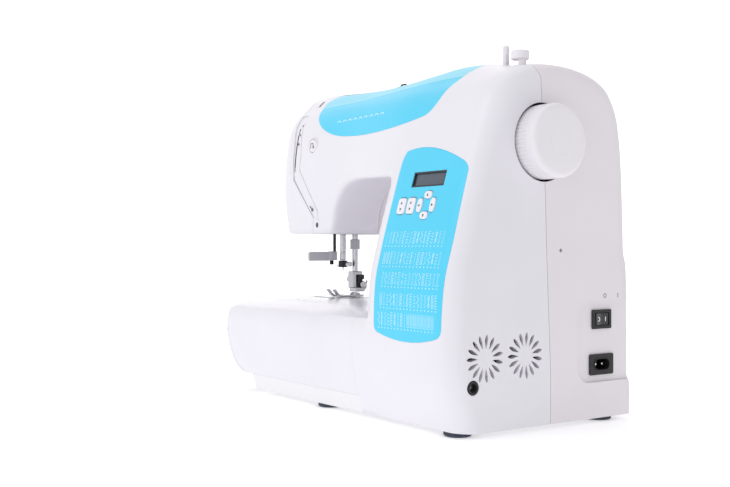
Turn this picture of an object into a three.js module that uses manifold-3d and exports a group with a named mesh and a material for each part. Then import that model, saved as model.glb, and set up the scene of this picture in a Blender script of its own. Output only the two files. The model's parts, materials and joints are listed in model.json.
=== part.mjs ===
// Computerised domestic sewing machine, in millimetres.
// X runs along the arm towards the handwheel, Y towards the back, Z up; the rubber feet stand on Z = 0.
import * as THREE from 'three';
import { mergeVertices } from 'three/addons/utils/BufferGeometryUtils.js';
import Module from 'manifold-3d';

const wasm = await Module();
wasm.setup();

// ---------------------------------------------------------------- driving dimensions
const GAP = 0.3; // clearance between neighbouring pieces
const WALL = 2.6; // moulded wall
const END = 171; // right end of the casing
const REAR = 96;
const PAN_LEFT = -146; // left end of the base pan
const PAN_BOTTOM = 4;
const PAN_TOP = 19;
const TABLE_LEFT = -190.5;
const TABLE_RIGHT = 40;
const BED_TOP = 94;
const ARM_LEFT = -160; // left end of the head
const HEAD_BOTTOM = 157;
const HARP_TOP = 205;
const HARP_RIGHT = 62;
const SEAM_Y = 1; // where the front and rear covers meet
const ARM_FREE = { x0: -160, y0: -56, y1: 26 }; // free arm inside the table
const SHAFT = { y: -2, z: 227.5 }; // main shaft axis
const LOWER = { y: -24, z: 38 }; // lower shaft axis
const MOTOR = { y: -42, z: 58 };
const NEEDLE = { x: -108, y: -6 };
const PRESSER = { x: -107, y: 8 };
const HOOK = { x: -108, y: -36 };
const WHEEL_RADIUS = 29.5;
const DRIVE_RADIUS = 30;
const MOTOR_PULLEY_RADIUS = 9;
const TIMING_RADIUS = 10;
const PANEL = { x0: 72, x1: 160, z0: 71, z1: 224 };
const RECESS = { y0: 36, z0: 33.5, z1: 99, depth: 3 }; // stepped recess round the switch and the inlet
const SWITCH = { y: 66.2, z: 85, w: 22.6, h: 15.8 };
const INLET = { y: 65.9, z: 47.7, w: 28, h: 17.2 };
const JACK = { y: -75.5, z: 39, r: 5.3 };
const VENT = { ys: [-63.5, -22], z: 60.2, inner: 7.6, outer: 18.2, slots: 15, width: 2.9 };
const SPOOL_TRAY = { x0: -18, x1: 112, y0: 14, y1: 58, z: 262 };
const WINDER = { x: 130.5, y: -5 };
const STOP = { x: 151, y: -5 };
const DIAL = { x0: -125, x1: -118, y: -15.5, z: 280, r: 11.5 }; // tension dial, on edge in the top
const LIFTER = { x: -82, z: 182, x0: -90.5, x1: -36, y: 72, top: 196 }; // presser lifter and its pocket
const LID = { x0: -150, x1: 10, z0: 30, z1: 80 };
const MOUTH = { x0: -126, x1: -62, y0: -34, y1: 30 }; // opening under the head for the two bars
const LEVER_SLOT = { x0: -132.4, x1: -128.8, z0: 216, z1: 266 }; // slot the take-up lever moves in
const PLATE = { x0: -139.5, x1: -76.5, y0: -22, y1: 21 }; // needle plate
const FEET = [['front_right', 150, -73], ['front_left', -30, -72], ['rear_right', 156, 76], ['rear_left',
  -128, 76]];

// ---------------------------------------------------------------- solids
const X = new THREE.Vector3(1, 0, 0);
const Y = new THREE.Vector3(0, 1, 0);
const Z = new THREE.Vector3(0, 0, 1);

function toSolid(geometry) {
  geometry.deleteAttribute('normal');
  geometry.deleteAttribute('uv');
  const merged = mergeVertices(geometry, 1e-4);
  const vertProperties = new Float32Array(merged.attributes.position.array);
  const triVerts = new Uint32Array(merged.index.array);
  return new wasm.Manifold(new wasm.Mesh({ numProp: 3, vertProperties, triVerts }));
}

function toGeometry(solid) {
  const mesh = solid.getMesh();
  const geometry = new THREE.BufferGeometry();
  geometry.setAttribute('position', new THREE.BufferAttribute(new Float32Array(mesh.vertProperties), 3));
  geometry.setIndex(new THREE.BufferAttribute(new Uint32Array(mesh.triVerts), 1));
  geometry.computeVertexNormals();
  return geometry;
}

function block(x0, x1, y0, y1, z0, z1) {
  const box = new THREE.BoxGeometry(x1 - x0, y1 - y0, z1 - z0);
  box.translate((x0 + x1) / 2, (y0 + y1) / 2, (z0 + z1) / 2);
  return toSolid(box);
}

function shapeOf(points) {
  return new THREE.Shape(points.map(([a, b]) => new THREE.Vector2(a, b)));
}

function extrude(shape, depth, steps = 5) {
  return new THREE.ExtrudeGeometry(shape, { depth, bevelEnabled: false, curveSegments: steps });
}

// A shape drawn in (X, Z), from y0 to y1.
function prismY(shape, y0, y1, steps) {
  const geometry = extrude(shape, y1 - y0, steps);
  geometry.applyMatrix4(new THREE.Matrix4().makeBasis(X, Z, Y.clone().negate()));
  geometry.translate(0, y1, 0);
  return toSolid(geometry);
}

// A shape drawn in (Y, Z), from x0 to x1.
function prismX(shape, x0, x1, steps) {
  const geometry = extrude(shape, x1 - x0, steps);
  geometry.applyMatrix4(new THREE.Matrix4().makeBasis(Y, Z, X));
  geometry.translate(x0, 0, 0);
  return toSolid(geometry);
}

// A shape drawn in (X, Y), from z0 to z1.
function prismZ(shape, z0, z1, steps) {
  const geometry = extrude(shape, z1 - z0, steps);
  geometry.translate(0, 0, z0);
  return toSolid(geometry);
}

function rodX(x0, x1, y, z, r, sides = 20) {
  const geometry = new THREE.CylinderGeometry(r, r, x1 - x0, sides);
  geometry.rotateZ(-Math.PI / 2);
  geometry.translate((x0 + x1) / 2, y, z);
  return toSolid(geometry);
}

function rodY(x, y0, y1, z, r, sides = 20) {
  const geometry = new THREE.CylinderGeometry(r, r, y1 - y0, sides);
  geometry.translate(x, (y0 + y1) / 2, z);
  return toSolid(geometry);
}

function rodZ(x, y, z0, z1, r, sides = 20) {
  const geometry = new THREE.CylinderGeometry(r, r, z1 - z0, sides);
  geometry.rotateX(Math.PI / 2);
  geometry.translate(x, y, (z0 + z1) / 2);
  return toSolid(geometry);
}

function roundedRect(a0, a1, b0, b1, r) {
  const shape = new THREE.Shape();
  shape.moveTo(a0 + r, b0);
  shape.lineTo(a1 - r, b0);
  shape.absarc(a1 - r, b0 + r, r, -Math.PI / 2, 0);
  shape.lineTo(a1, b1 - r);
  shape.absarc(a1 - r, b1 - r, r, 0, Math.PI / 2);
  shape.lineTo(a0 + r, b1);
  shape.absarc(a0 + r, b1 - r, r, Math.PI / 2, Math.PI);
  shape.lineTo(a0, b0 + r);
  shape.absarc(a0 + r, b0 + r, r, Math.PI, 1.5 * Math.PI);
  return shape;
}

function join(...solids) {
  return solids.reduce((whole, solid) => whole.add(solid));
}

function cut(solid, ...tools) {
  return tools.reduce((rest, tool) => rest.subtract(tool), solid);
}

// A closed skin through rings of equally many points, with a fan at each end.
function loft(rings) {
  const count = rings[0].length;
  const positions = [];
  for (const ring of rings) for (const p of ring) positions.push(p.x, p.y, p.z);
  const index = [];
  for (let r = 0; r + 1 < rings.length; r += 1) {
    for (let i = 0; i < count; i += 1) {
      const a = r * count + i;
      const b = r * count + ((i + 1) % count);
      index.push(a, a + count, b, b, a + count, b + count);
    }
  }
  for (const last of [false, true]) {
    const ring = rings[last ? rings.length - 1 : 0];
    const centre = ring.reduce((sum, p) => sum.add(p), new THREE.Vector3()).divideScalar(count);
    const hub = positions.length / 3;
    positions.push(centre.x, centre.y, centre.z);
    const start = last ? (rings.length - 1) * count : 0;
    for (let i = 0; i < count; i += 1) {
      const a = start + i;
      const b = start + ((i + 1) % count);
      index.push(...(last ? [b, a, hub] : [a, b, hub]));
    }
  }
  const geometry = new THREE.BufferGeometry();
  geometry.setAttribute('position', new THREE.Float32BufferAttribute(positions, 3));
  geometry.setIndex(index);
  return toSolid(geometry);
}

// ---------------------------------------------------------------- casing surface
// Front of the side profile: depth at the pillar, depth at the head, height.
const FRONT_PROFILE = [
  [-84, -52, PAN_BOTTOM], [-92.5, -52, 34], [-96, -52, 60], [-95.5, -52, 108], [-89.5, -52, 140],
  [-70, -50.5, 206], [-57, -47.5, 243], [-47.5, -41, 267], [-33, -27.5, 282], [-10, -6, 289.5],
];
// Top and back of the side profile: depth, height.
const BACK_PROFILE = [[23, 291], [52, 287], [74, 278], [87, 260], [92, 238], [94.5, 208], [REAR, 150],
  [REAR, PAN_BOTTOM]];
const PROFILE_POINTS = 27;
const ROUND_X = 14; // length over which the right end rounds off
const ROUND_FRONT = 13;
const CROWN_LIFT = 8.5; // how much higher the arm's crown is than the right end's
const CROWN_DIP = 4.8;
const LIFT_FROM = 280; // height where the raised crown starts

// Part turn, part slant: a clear edge towards the front and a tangent one at the end.
function shoulder(t) {
  const k = Math.min(1, Math.max(0, t));
  return 0.42 * k + 0.58 * quarter(k);
}
const ROUND_BACK = 8;
const ROUND_TOP = 8;
const ROUND_HEAD = 17; // rounding of the head's left end

function quarter(t) {
  const k = Math.min(1, Math.max(0, t));
  return 1 - Math.sqrt(1 - k * k);
}

// The side profile at x, drawn in by t along its normals.
// How far the crown sags along the middle of the arm.
function crownDip(x) {
  return CROWN_DIP * Math.cos((Math.PI / 2) * Math.min(1, Math.abs(x + 20) / 97));
}

function casingRing(x, t) {
  const w = THREE.MathUtils.smoothstep(x, -70, 60);
  const front = FRONT_PROFILE.map(([pillar, head, z]) => new THREE.Vector2(THREE.MathUtils.lerp(head,
    pillar, w), z));
  const back = BACK_PROFILE.map(([y, z]) => new THREE.Vector2(y, z));
  const curve = new THREE.SplineCurve([...front, ...back]).getPoints(PROFILE_POINTS);
  const right = (x - (END - ROUND_X)) / ROUND_X;
  const left = (ARM_LEFT + ROUND_HEAD - x) / ROUND_HEAD;
  const raised = CROWN_LIFT * (1 - THREE.MathUtils.smoothstep(x, 85, END)) - crownDip(x);
  const drawn = curve.map((p, i) => {
    const before = curve[(i + curve.length - 1) % curve.length];
    const after = curve[(i + 1) % curve.length];
    const normal = new THREE.Vector2(after.y - before.y, before.x - after.x).normalize();
    const high = Math.max(0, (p.y - 120) / 170);
    const side = p.x < 10 ? ROUND_FRONT * shoulder(right) + ROUND_HEAD * quarter(left) : 0;
    const behind = p.x < 10 ? 0 : ROUND_BACK * quarter(right) + ROUND_HEAD * quarter(left);
    const fade = Math.min(1, Math.abs(p.x - 10) / 30);
    const y = p.x + (side - behind) * fade + normal.x * t;
    const lift = raised * THREE.MathUtils.smoothstep(p.y, LIFT_FROM, 291);
    const z = Math.max(PAN_BOTTOM + t,
      p.y + lift - ROUND_TOP * high * quarter(1.6 * right - 0.6) + normal.y * t);
    return [y, z];
  });
  const inner = THREE.MathUtils.clamp(x, ARM_LEFT + t, END - t);
  return drawn.map(([y, z]) => new THREE.Vector3(inner, y, z));
}

const STATIONS = [-160, -157, -143, -90, -60, -30, 0, 35, 62, 88, 122, 157, 163, 168, 171];

function casing(t) {
  return loft(STATIONS.map((x) => casingRing(x, t)));
}

// Front view of the pillar, arm and head, drawn in by t.
function frontOutline(t) {
  const shape = new THREE.Shape();
  const left = ARM_LEFT + t;
  shape.moveTo(HARP_RIGHT + t, PAN_BOTTOM - 1 + t);
  shape.lineTo(END + 2, PAN_BOTTOM - 1 + t);
  shape.lineTo(END + 2, 312);
  shape.lineTo(-118, 312);
  shape.lineTo(-118, 301.5 - t);
  shape.bezierCurveTo(-146, 301.5 - t, left - 1, 297, left, 262);
  shape.lineTo(left + 1, 218);
  shape.lineTo(-141 + t, HEAD_BOTTOM + 8);
  shape.quadraticCurveTo(-141.5 + t, HEAD_BOTTOM + t, -134, HEAD_BOTTOM + t);
  shape.lineTo(-61 - t, HEAD_BOTTOM + t);
  shape.quadraticCurveTo(-56 - t, HEAD_BOTTOM + t, -55.5 - t, HEAD_BOTTOM + 7);
  shape.bezierCurveTo(-53 - t, 188 + t, -38, HARP_TOP + t, -6, HARP_TOP + 0.6 + t);
  shape.lineTo(HARP_RIGHT - 8, HARP_TOP - 0.8 + t);
  shape.quadraticCurveTo(HARP_RIGHT + t, HARP_TOP - 1 + t, HARP_RIGHT + t, HARP_TOP - 9);
  return shape;
}


// The bed: crowned top, front edge lower than the back edge.
const BED_PROFILE = [
  [-84, PAN_BOTTOM], [-89.2, PAN_TOP], [-92.5, 34], [-96, 60], [-95.8, 79], [-94.4, 83.6], [-90, 85.4],
  [-70, 89.6], [-45, 92.6], [-15, BED_TOP], [40, BED_TOP - 0.2], [80, 92.6], [92, 91.4], [REAR, 88], [REAR,
    PAN_BOTTOM],
];

function bed(t, x0, x1) {
  const points = BED_PROFILE.map(([y, z]) => new THREE.Vector2(y, z));
  const drawn = points.map((p, i) => {
    const before = points[(i + points.length - 1) % points.length];
    const after = points[(i + 1) % points.length];
    const normal = new THREE.Vector2(after.y - before.y, before.x - after.x).normalize();
    return [p.x + normal.x * t, Math.max(PAN_BOTTOM, p.y + normal.y * t)];
  });
  return prismX(shapeOf(drawn), x0, x1);
}

// The arm, head and pillar, with the stretch of bed that is moulded onto the pillar and open at its left end.
function upperBody(t) {
  const upper = casing(t).intersect(prismY(frontOutline(t), -110, 110, 6));
  const foot = bed(t, TABLE_RIGHT + (t > 0 ? 0 : GAP), HARP_RIGHT + 2 * WALL);
  return upper.add(foot.intersect(block(TABLE_RIGHT - 1, END, -110, 110, PAN_BOTTOM + t, 120)));
}

function tableEnd(t) {
  const shape = new THREE.Shape();
  shape.moveTo(TABLE_RIGHT, PAN_TOP + GAP);
  shape.lineTo(TABLE_RIGHT, BED_TOP + 4);
  shape.lineTo(-184.5 + t, BED_TOP + 4);
  shape.quadraticCurveTo(-186.5 + t, 80, TABLE_LEFT + 0.5 + t, 62);
  shape.bezierCurveTo(TABLE_LEFT + t, 40, -181 + t, 22, -164 + t, PAN_TOP + GAP);
  return shape;
}

// ---------------------------------------------------------------- cutters shared by several pieces
function panelShape(grow) {
  const { x0, x1, z0, z1 } = PANEL;
  const shape = new THREE.Shape();
  shape.moveTo(x0 - grow, z0 + 12);
  shape.quadraticCurveTo(x0 - grow, z0 + 5 - grow, x0 + 8, z0 + 4 - grow);
  shape.quadraticCurveTo((x0 + x1) / 2, z0 - 5 - grow, x1 - 8, z0 + 4 - grow);
  shape.quadraticCurveTo(x1 - 2 + grow, z0 + 6 - grow, x1 - 2 + grow, z0 + 12);
  shape.lineTo(x1 + grow, 150);
  shape.lineTo(x1 - 1 + grow, z1 - 20);
  shape.quadraticCurveTo(x1 - 2 + grow, z1 - 15 + grow, x1 - 9, z1 - 12 + grow);
  shape.quadraticCurveTo(x0 + 35, z1 + 7 + grow, x0 + 4, z1 + grow);
  shape.quadraticCurveTo(x0 - grow, z1 - 3 + grow, x0 - grow, z1 - 14);
  return shape;
}

const LCD = { x: 113.7, z: 199, w: 41, h: 12 };
const SELECT_KEYS = [{ name: 'length_button', x: 87 }, { name: 'width_button', x: 99.2 }];
const SELECT = { z: 177.8, w: 10.2, h: 13.6 };
const ARROWS = { x: 118.6, z: 177.8, reach: 8.2, w: 6.6, l: 12 };
const ARROW_KEYS = [
  { name: 'key_left', dx: -1, dz: 0 }, { name: 'key_up', dx: 0, dz: 1 },
  { name: 'key_right', dx: 1, dz: 0 }, { name: 'key_down', dx: 0, dz: -1 },
];

function selectShape(key, grow) {
  const w = SELECT.w / 2 + grow;
  const h = SELECT.h / 2 + grow;
  return roundedRect(key.x - w, key.x + w, SELECT.z - h, SELECT.z + h, 2.6);
}

function arrowShape(key, grow) {
  const x = ARROWS.x + key.dx * ARROWS.reach;
  const z = ARROWS.z + key.dz * ARROWS.reach;
  const w = (key.dx ? ARROWS.w : ARROWS.l * 0.8) / 2 + grow;
  const h = (key.dx ? ARROWS.l : ARROWS.w) / 2 + grow;
  return roundedRect(x - w, x + w, z - h, z + h, 3);
}

function lcdShape(grow) {
  const w = LCD.w / 2 + grow;
  const h = LCD.h / 2 + grow;
  return shapeOf([[LCD.x - w, LCD.z - h], [LCD.x + w, LCD.z - h], [LCD.x + w, LCD.z + h], [LCD.x - w,
    LCD.z + h]]);
}

// Everything in front of the skin at depth `outside` and behind the one at `inside`, within a front-view shape.
function layer(shape, outside, inside) {
  return casing(outside).intersect(prismY(shape, -110, -20)).subtract(casing(inside));
}

// Left of the thread channel on the head.
function faceRegion(gap) {
  return prismY(shapeOf([
    [-200, 120], [-92 - gap, 120], [-92 - gap, 171], [-133 - gap, 211], [-135.5 - gap, 262], [-135.5 - gap,
      312], [-200, 312],
  ]), -110, 110);
}

function ventCutter() {
  const slots = [];
  for (const y of VENT.ys) {
    for (let i = 0; i < VENT.slots; i += 1) {
      const middle = (VENT.inner + VENT.outer) / 2;
      const petal = shapeOf([
        [VENT.inner, 0], [middle, -VENT.width / 2], [VENT.outer, 0], [middle, VENT.width / 2],
      ]);
      const slot = extrude(petal, 12);
      slot.rotateZ(((i + 0.5) * 2 * Math.PI) / VENT.slots);
      slot.applyMatrix4(new THREE.Matrix4().makeBasis(Y, Z, X));
      slot.translate(END - 8, y, VENT.z);
      slots.push(toSolid(slot));
    }
  }
  return join(...slots);
}

function rect(cy, cz, w, h) {
  return shapeOf([[cy - w / 2, cz - h / 2], [cy + w / 2, cz - h / 2], [cy + w / 2, cz + h / 2],
    [cy - w / 2, cz + h / 2]]);
}

// ---------------------------------------------------------------- the pieces
const machine = new THREE.Group();

function add(name, solid, color, roughness = 0.5, metalness = 0) {
  const mesh = new THREE.Mesh(toGeometry(solid), new THREE.MeshStandardMaterial({ color, roughness,
    metalness }));
  mesh.name = name;
  machine.add(mesh);
}

const WHITE = 0xf4f2f7;
const GREY = 0xc8c3c8;
const BLUE = 0x5fd4f5;
const DARK = 0x2c3038;
const RUBBER = 0x3c4452;
const STEEL = 0xb9bcc2;
const CAST = 0x8d9096;
const COPPER = 0x6b6f76;

const wheelHole = rodX(END - 12, END + 4, SHAFT.y, SHAFT.z, WHEEL_RADIUS + 1.8, 32);
const headMouth = block(MOUTH.x0, MOUTH.x1, MOUTH.y0, MOUTH.y1, HEAD_BOTTOM - 3, HEAD_BOTTOM + 6);
const leverSlot = block(LEVER_SLOT.x0, LEVER_SLOT.x1, -60, -30, LEVER_SLOT.z0, LEVER_SLOT.z1);
const bodySkin = upperBody(0);
const bodyHollow = upperBody(WALL);
const shell = bodySkin.subtract(bodyHollow);

function frontCover() {
  const keys = [...SELECT_KEYS.map((k) => selectShape(k, 0.4)), ...ARROW_KEYS.map((k) => arrowShape(k,
    0.4)), lcdShape(0)];
  const half = shell.intersect(block(-170, END + 1, -110, SEAM_Y - GAP / 2, 0,
    312)).subtract(faceRegion(-GAP));
  return cut(
    half,
    layer(panelShape(GAP), -3, 1.3),
    ...keys.map((shape) => prismY(shape, -110, -55)),
    trimLayer(GAP, -3, 1.3),
    wheelHole,
    headMouth,
    leverSlot,
    ventCutter(),
    rodX(END - 6, END + 2, JACK.y, JACK.z, JACK.r + GAP, 16),
    rodY(-98.5, -60, -30, 243, 7, 20),
    rodZ(STOP.x, STOP.y, 270, 300, 3.6, 12),
    prismZ(roundedRect(WINDER.x - 3.2, WINDER.x + 10, WINDER.y - 3.2, WINDER.y + 3.2, 3.1), 270, 312),
    rodX(DIAL.x0 - 0.8, DIAL.x1 + 0.8, DIAL.y, DIAL.z, DIAL.r + 0.8, 28),
  );
}

// Blue band along the front edge of the arm, running over onto the top.
function trimLayer(grow, outside, inside) {
  const shape = new THREE.Shape();
  shape.moveTo(-106 - grow, 268);
  shape.bezierCurveTo(-104 - grow, 256 - grow, -75, 248 - grow, -37, 247.2 - grow);
  shape.bezierCurveTo(10, 243.5 - grow, 50, 247 - grow, 84, 253.6 - grow);
  shape.quadraticCurveTo(95 + grow, 257 - grow, 99 + grow, 270);
  shape.quadraticCurveTo(102 + grow, 281, 112 + grow, 291);
  shape.lineTo(118 + grow, 312);
  shape.lineTo(-88 - grow, 312);
  shape.lineTo(-94 - grow, 288);
  shape.quadraticCurveTo(-105 - grow, 280, -106 - grow, 268);
  return prismY(shape, -70, -5 + grow, 4).intersect(casing(outside).subtract(casing(inside)));
}

function rearCover() {
  const { y0, z0, z1, depth } = RECESS;
  const recess = block(END - depth, END + 2, y0, REAR + 5, z0, z1);
  const recessHollow = block(END - depth - WALL, END + 2, y0 - WALL, REAR + 5, z0 - WALL, z1 + WALL);
  const tray = SPOOL_TRAY;
  const trayCut = block(tray.x0, tray.x1, tray.y0, tray.y1, tray.z, 312);
  const trayWall = block(tray.x0 - WALL, tray.x1 + WALL, tray.y0 - WALL, tray.y1 + WALL, tray.z - WALL, 312);
  const pocket = block(LIFTER.x0, LIFTER.x1, LIFTER.y, REAR + 5, HEAD_BOTTOM - 5, LIFTER.top);
  const pocketWall = block(LIFTER.x0 - WALL, LIFTER.x1 + WALL, LIFTER.y - WALL, REAR + 5, HEAD_BOTTOM - 5,
    LIFTER.top + WALL);
  const hollow = cut(bodyHollow, recessHollow, trayWall, pocketWall);
  const whole = cut(bodySkin, hollow, recess, trayCut, pocket);
  return cut(
    whole.intersect(block(-170, END + 1, SEAM_Y + GAP / 2, 110, 0, 312)).subtract(faceRegion(-GAP)),
    wheelHole,
    headMouth,
    prismX(rect(SWITCH.y, SWITCH.z, SWITCH.w - 3, SWITCH.h - 3), END - 12, END + 2),
    prismX(rect(INLET.y, INLET.z, INLET.w - 3, INLET.h - 3), END - 12, END + 2),
    rodX(END - 6, END + 2, 17, 142, 1.6, 12),
    rodY(LIFTER.x, LIFTER.y - 5, LIFTER.y + 5, LIFTER.z, 3.6, 14),
  );
}

function faceCover() {
  return cut(
    shell.intersect(faceRegion(0)),
    headMouth,
    leverSlot,
  );
}

function basePan() {
  const left = bed(0, PAN_LEFT, TABLE_RIGHT).intersect(block(PAN_LEFT, TABLE_RIGHT, -110, 110, PAN_BOTTOM,
    PAN_TOP));
  const right = casing(WALL + GAP).intersect(block(TABLE_RIGHT - 0.01, END, -110, 110, PAN_BOTTOM, PAN_TOP));
  const hollow = block(PAN_LEFT + 3, END - 8, -80, 86, PAN_BOTTOM + 3, PAN_TOP + 1);
  return cut(join(left, right), hollow);
}

function foot(x, y) {
  const outline = [[0, 0], [9.5, 0], [11, 1.5], [11, PAN_BOTTOM - GAP], [3, PAN_BOTTOM - GAP], [3, 2.5],
    [0, 2.5]];
  const lathe = new THREE.LatheGeometry(outline.map(([r, z]) => new THREE.Vector2(r, z)), 16);
  lathe.rotateX(Math.PI / 2);
  lathe.translate(x, y, 0);
  return toSolid(lathe);
}

const armHollow = block(ARM_FREE.x0 - 0.4, TABLE_RIGHT + 1, ARM_FREE.y0 - 0.4, ARM_FREE.y1 + 0.4, 0, 120);

function extensionTable() {
  const outer = bed(0, TABLE_LEFT - 1, TABLE_RIGHT).intersect(prismY(tableEnd(0), -110, 110, 8));
  return cut(
    outer,
    armHollow,
    block(-176, TABLE_RIGHT - 3, -86, -59, 0, 82),
    block(-176, -163, -54, 90, 0, 84),
    block(LID.x0 + 4, TABLE_RIGHT - 3, 29, REAR - 4, 22, 86),
    block(LID.x0 - GAP, LID.x1 + GAP, REAR - 2.6, REAR + 1, LID.z0 - GAP, LID.z1 + GAP),
    block(LID.x0 + 4, LID.x1 - 4, 40, REAR + 1, LID.z0 + 4, LID.z1 - 4),
  );
}

function accessoryLid() {
  const panel = block(LID.x0, LID.x1, REAR - 2.3, REAR, LID.z0, LID.z1);
  const grip = block(-78, -62, REAR - 1.2, REAR + 1, LID.z1 - 8, LID.z1 - 3);
  return panel.subtract(grip);
}

function freeArmCover() {
  const skin = bed(0.1, ARM_FREE.x0, TABLE_RIGHT).intersect(
    block(ARM_FREE.x0, TABLE_RIGHT, ARM_FREE.y0, ARM_FREE.y1, PAN_TOP + GAP, 120));
  const hollow = block(ARM_FREE.x0 + WALL, TABLE_RIGHT - WALL, ARM_FREE.y0 + WALL, ARM_FREE.y1 - WALL, 0,
    BED_TOP - 5);
  return cut(
    skin,
    hollow,
    block(TABLE_RIGHT - 6, TABLE_RIGHT + 1, ARM_FREE.y0 + 8, ARM_FREE.y1 - 4, 0, 75),
    block(PLATE.x0 - GAP, PLATE.x1 + GAP, PLATE.y0 - GAP, PLATE.y1 + GAP, BED_TOP - 3, 120),
    block(-136, -80, -19, 18, 70, 120),
    prismZ(coverShape(GAP), BED_TOP - 4.5, 120),
    prismZ(coverShape(-2), 70, 120),
  );
}

// Plan of the sliding bobbin cover in front of the needle plate, with a round front edge.
function coverShape(grow) {
  const shape = new THREE.Shape();
  const { x } = HOOK;
  const half = 22 + grow;
  shape.moveTo(x - half, -22.6);
  shape.lineTo(x - half, -40);
  shape.quadraticCurveTo(x - half, -52.5 - grow, x, -52.8 - grow);
  shape.quadraticCurveTo(x + half, -52.5 - grow, x + half, -40);
  shape.lineTo(x + half, -22.6);
  return shape;
}

const FEED_ROWS = [-114, -101.5];

function needlePlate() {
  const plate = prismZ(roundedRect(PLATE.x0, PLATE.x1, PLATE.y0, PLATE.y1, 2), BED_TOP - 2.7, BED_TOP + 0.4);
  const slots = FEED_ROWS.map((x) => block(x - 1.9, x + 1.9, -16.5, 13.5, 80, 100));
  return cut(plate, ...slots, block(NEEDLE.x - 3.6, NEEDLE.x + 3.6, NEEDLE.y - 1.1, NEEDLE.y + 1.1, 80, 100));
}

function feedDog() {
  const rows = FEED_ROWS.map((x) => {
    const teeth = [[-12, 88], [10, 88]];
    for (let i = 0; i < 11; i += 1) {
      teeth.push([10 - i * 2, BED_TOP - 0.2], [9 - i * 2, BED_TOP + 0.35]);
    }
    return prismX(shapeOf([[-12, 84], [10, 84], ...teeth.slice(2), [-12, BED_TOP - 0.2]]), x - 1.3, x + 1.3);
  });
  const bridge = block(FEED_ROWS[0] - 1.3, FEED_ROWS[1] + 1.3, 4, 10, 80, 85);
  return join(...rows, bridge);
}

function controlPanel() {
  const keys = [...SELECT_KEYS.map((k) => selectShape(k, 0.4)), ...ARROW_KEYS.map((k) => arrowShape(k,
    0.4)), lcdShape(0.3)];
  return cut(layer(panelShape(0), 0, 1), ...keys.map((shape) => prismY(shape, -110, -55)));
}

function displayWindow() {
  return prismY(lcdShape(-0.2), -110, -55).intersect(casing(1.6).subtract(casing(2.5)));
}

function panelKey(shape) {
  return prismY(shape, -110, -60).intersect(casing(-1).subtract(casing(3.2)));
}

function handwheel() {
  const profile = [
    [0, 164], [26, 164], [WHEEL_RADIUS - 1, 164], [WHEEL_RADIUS, 165.5], [WHEEL_RADIUS, 186],
      [WHEEL_RADIUS - 1.2, 188.6],
    [WHEEL_RADIUS - 3.5, 189.6], [12, 190], [0, 190],
  ];
  const lathe = new THREE.LatheGeometry(profile.map(([r, x]) => new THREE.Vector2(r, x)), 36);
  lathe.rotateZ(-Math.PI / 2);
  lathe.translate(0, SHAFT.y, SHAFT.z);
  return toSolid(lathe);
}

function belt(x0, x1, a, b, thickness) {
  const outer = beltLoop(a, b, thickness + GAP);
  outer.holes.push(beltLoop(a, b, GAP));
  return prismX(outer, x0, x1, 12);
}

// Outline of a belt round two pulleys, `off` outside them.
function beltLoop(a, b, off) {
  const along = Math.atan2(b.z - a.z, b.y - a.y);
  const span = Math.hypot(b.z - a.z, b.y - a.y);
  const lean = Math.acos((a.r - b.r) / span);
  const shape = new THREE.Shape();
  shape.absarc(a.y, a.z, a.r + off, along + lean, along - lean + 2 * Math.PI, false);
  shape.absarc(b.y, b.z, b.r + off, along - lean, along + lean, false);
  return shape;
}

const DRIVE = { x0: 138, x1: 148 };
const TIMING = { x0: 70, x1: 78 };

function needleBar() {
  return rodZ(NEEDLE.x, NEEDLE.y, 131, 236, 3, 14);
}

function needleClamp() {
  const body = rodZ(NEEDLE.x, NEEDLE.y, 124, 130.7, 4.6, 16);
  const ear = block(NEEDLE.x + 3, NEEDLE.x + 8, NEEDLE.y - 2, NEEDLE.y + 2, 125, 129.5);
  return join(body, ear).subtract(rodZ(NEEDLE.x, NEEDLE.y, 120, 128, 1.3, 10));
}

function needle() {
  const outline = [[0, 103.5], [0.35, 105], [0.42, 121], [0.95, 122.5], [0.95, 127.5], [0, 127.5]];
  const lathe = new THREE.LatheGeometry(outline.map(([r, z]) => new THREE.Vector2(r, z)), 10);
  lathe.rotateX(Math.PI / 2);
  lathe.translate(NEEDLE.x, NEEDLE.y, 0);
  return toSolid(lathe);
}

function presserBar() {
  return rodZ(PRESSER.x, PRESSER.y, 109.3, 214, 3.2, 16);
}

function footHolder() {
  const { x, y } = PRESSER;
  const collar = cut(block(x - 5, x + 5, y - 5.5, y + 6, 103, 120), rodZ(x, y, 109, 125, 3.5, 16));
  const slit = block(x - 6, x + 3.4, y - 1, y + 1, 108, 125);
  const yoke = block(x - 6, x + 6, y - 3, y + 8, 99.3, 103.1);
  const latch = block(x - 1.5, x + 1.5, y + 6, y + 12, 100, 107);
  return join(cut(collar, slit), yoke, latch);
}

function presserFoot() {
  const { x, y } = PRESSER;
  const side = [[-30, 102], [-28.6, 102.6], [-23, 96.6], [-19, 96.4], [5, 96.4], [5, 94.9], [-21, 94.9],
    [-25, 96.4]];
  const sole = prismX(shapeOf(side.map(([dy, z]) => [y + dy, z])), x - 8, x + 8);
  const notch = block(x - 3, x + 3, y - 40, y - 18, 90, 105);
  const bridge = block(x - 4, x + 4, y - 2.5, y + 2.5, 96.3, 98.9);
  return join(cut(sole, notch, block(NEEDLE.x - 3.4, NEEDLE.x + 3.4, NEEDLE.y - 2, NEEDLE.y + 2, 90, 105)),
    bridge);
}

function presserLifter() {
  const { x, y, z } = LIFTER;
  const hub = rodY(x, y + 1, y + 9, z, 7, 18);
  const pin = rodY(x, y - 9, y + 2, z, 3, 12);
  const arm = block(x - 4, x + 4, y + 1.5, y + 8.5, z - 40, z);
  const grip = block(x - 6, x + 6, y + 1.5, y + 20, z - 46, z - 38);
  return join(hub, pin, arm, grip);
}

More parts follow.
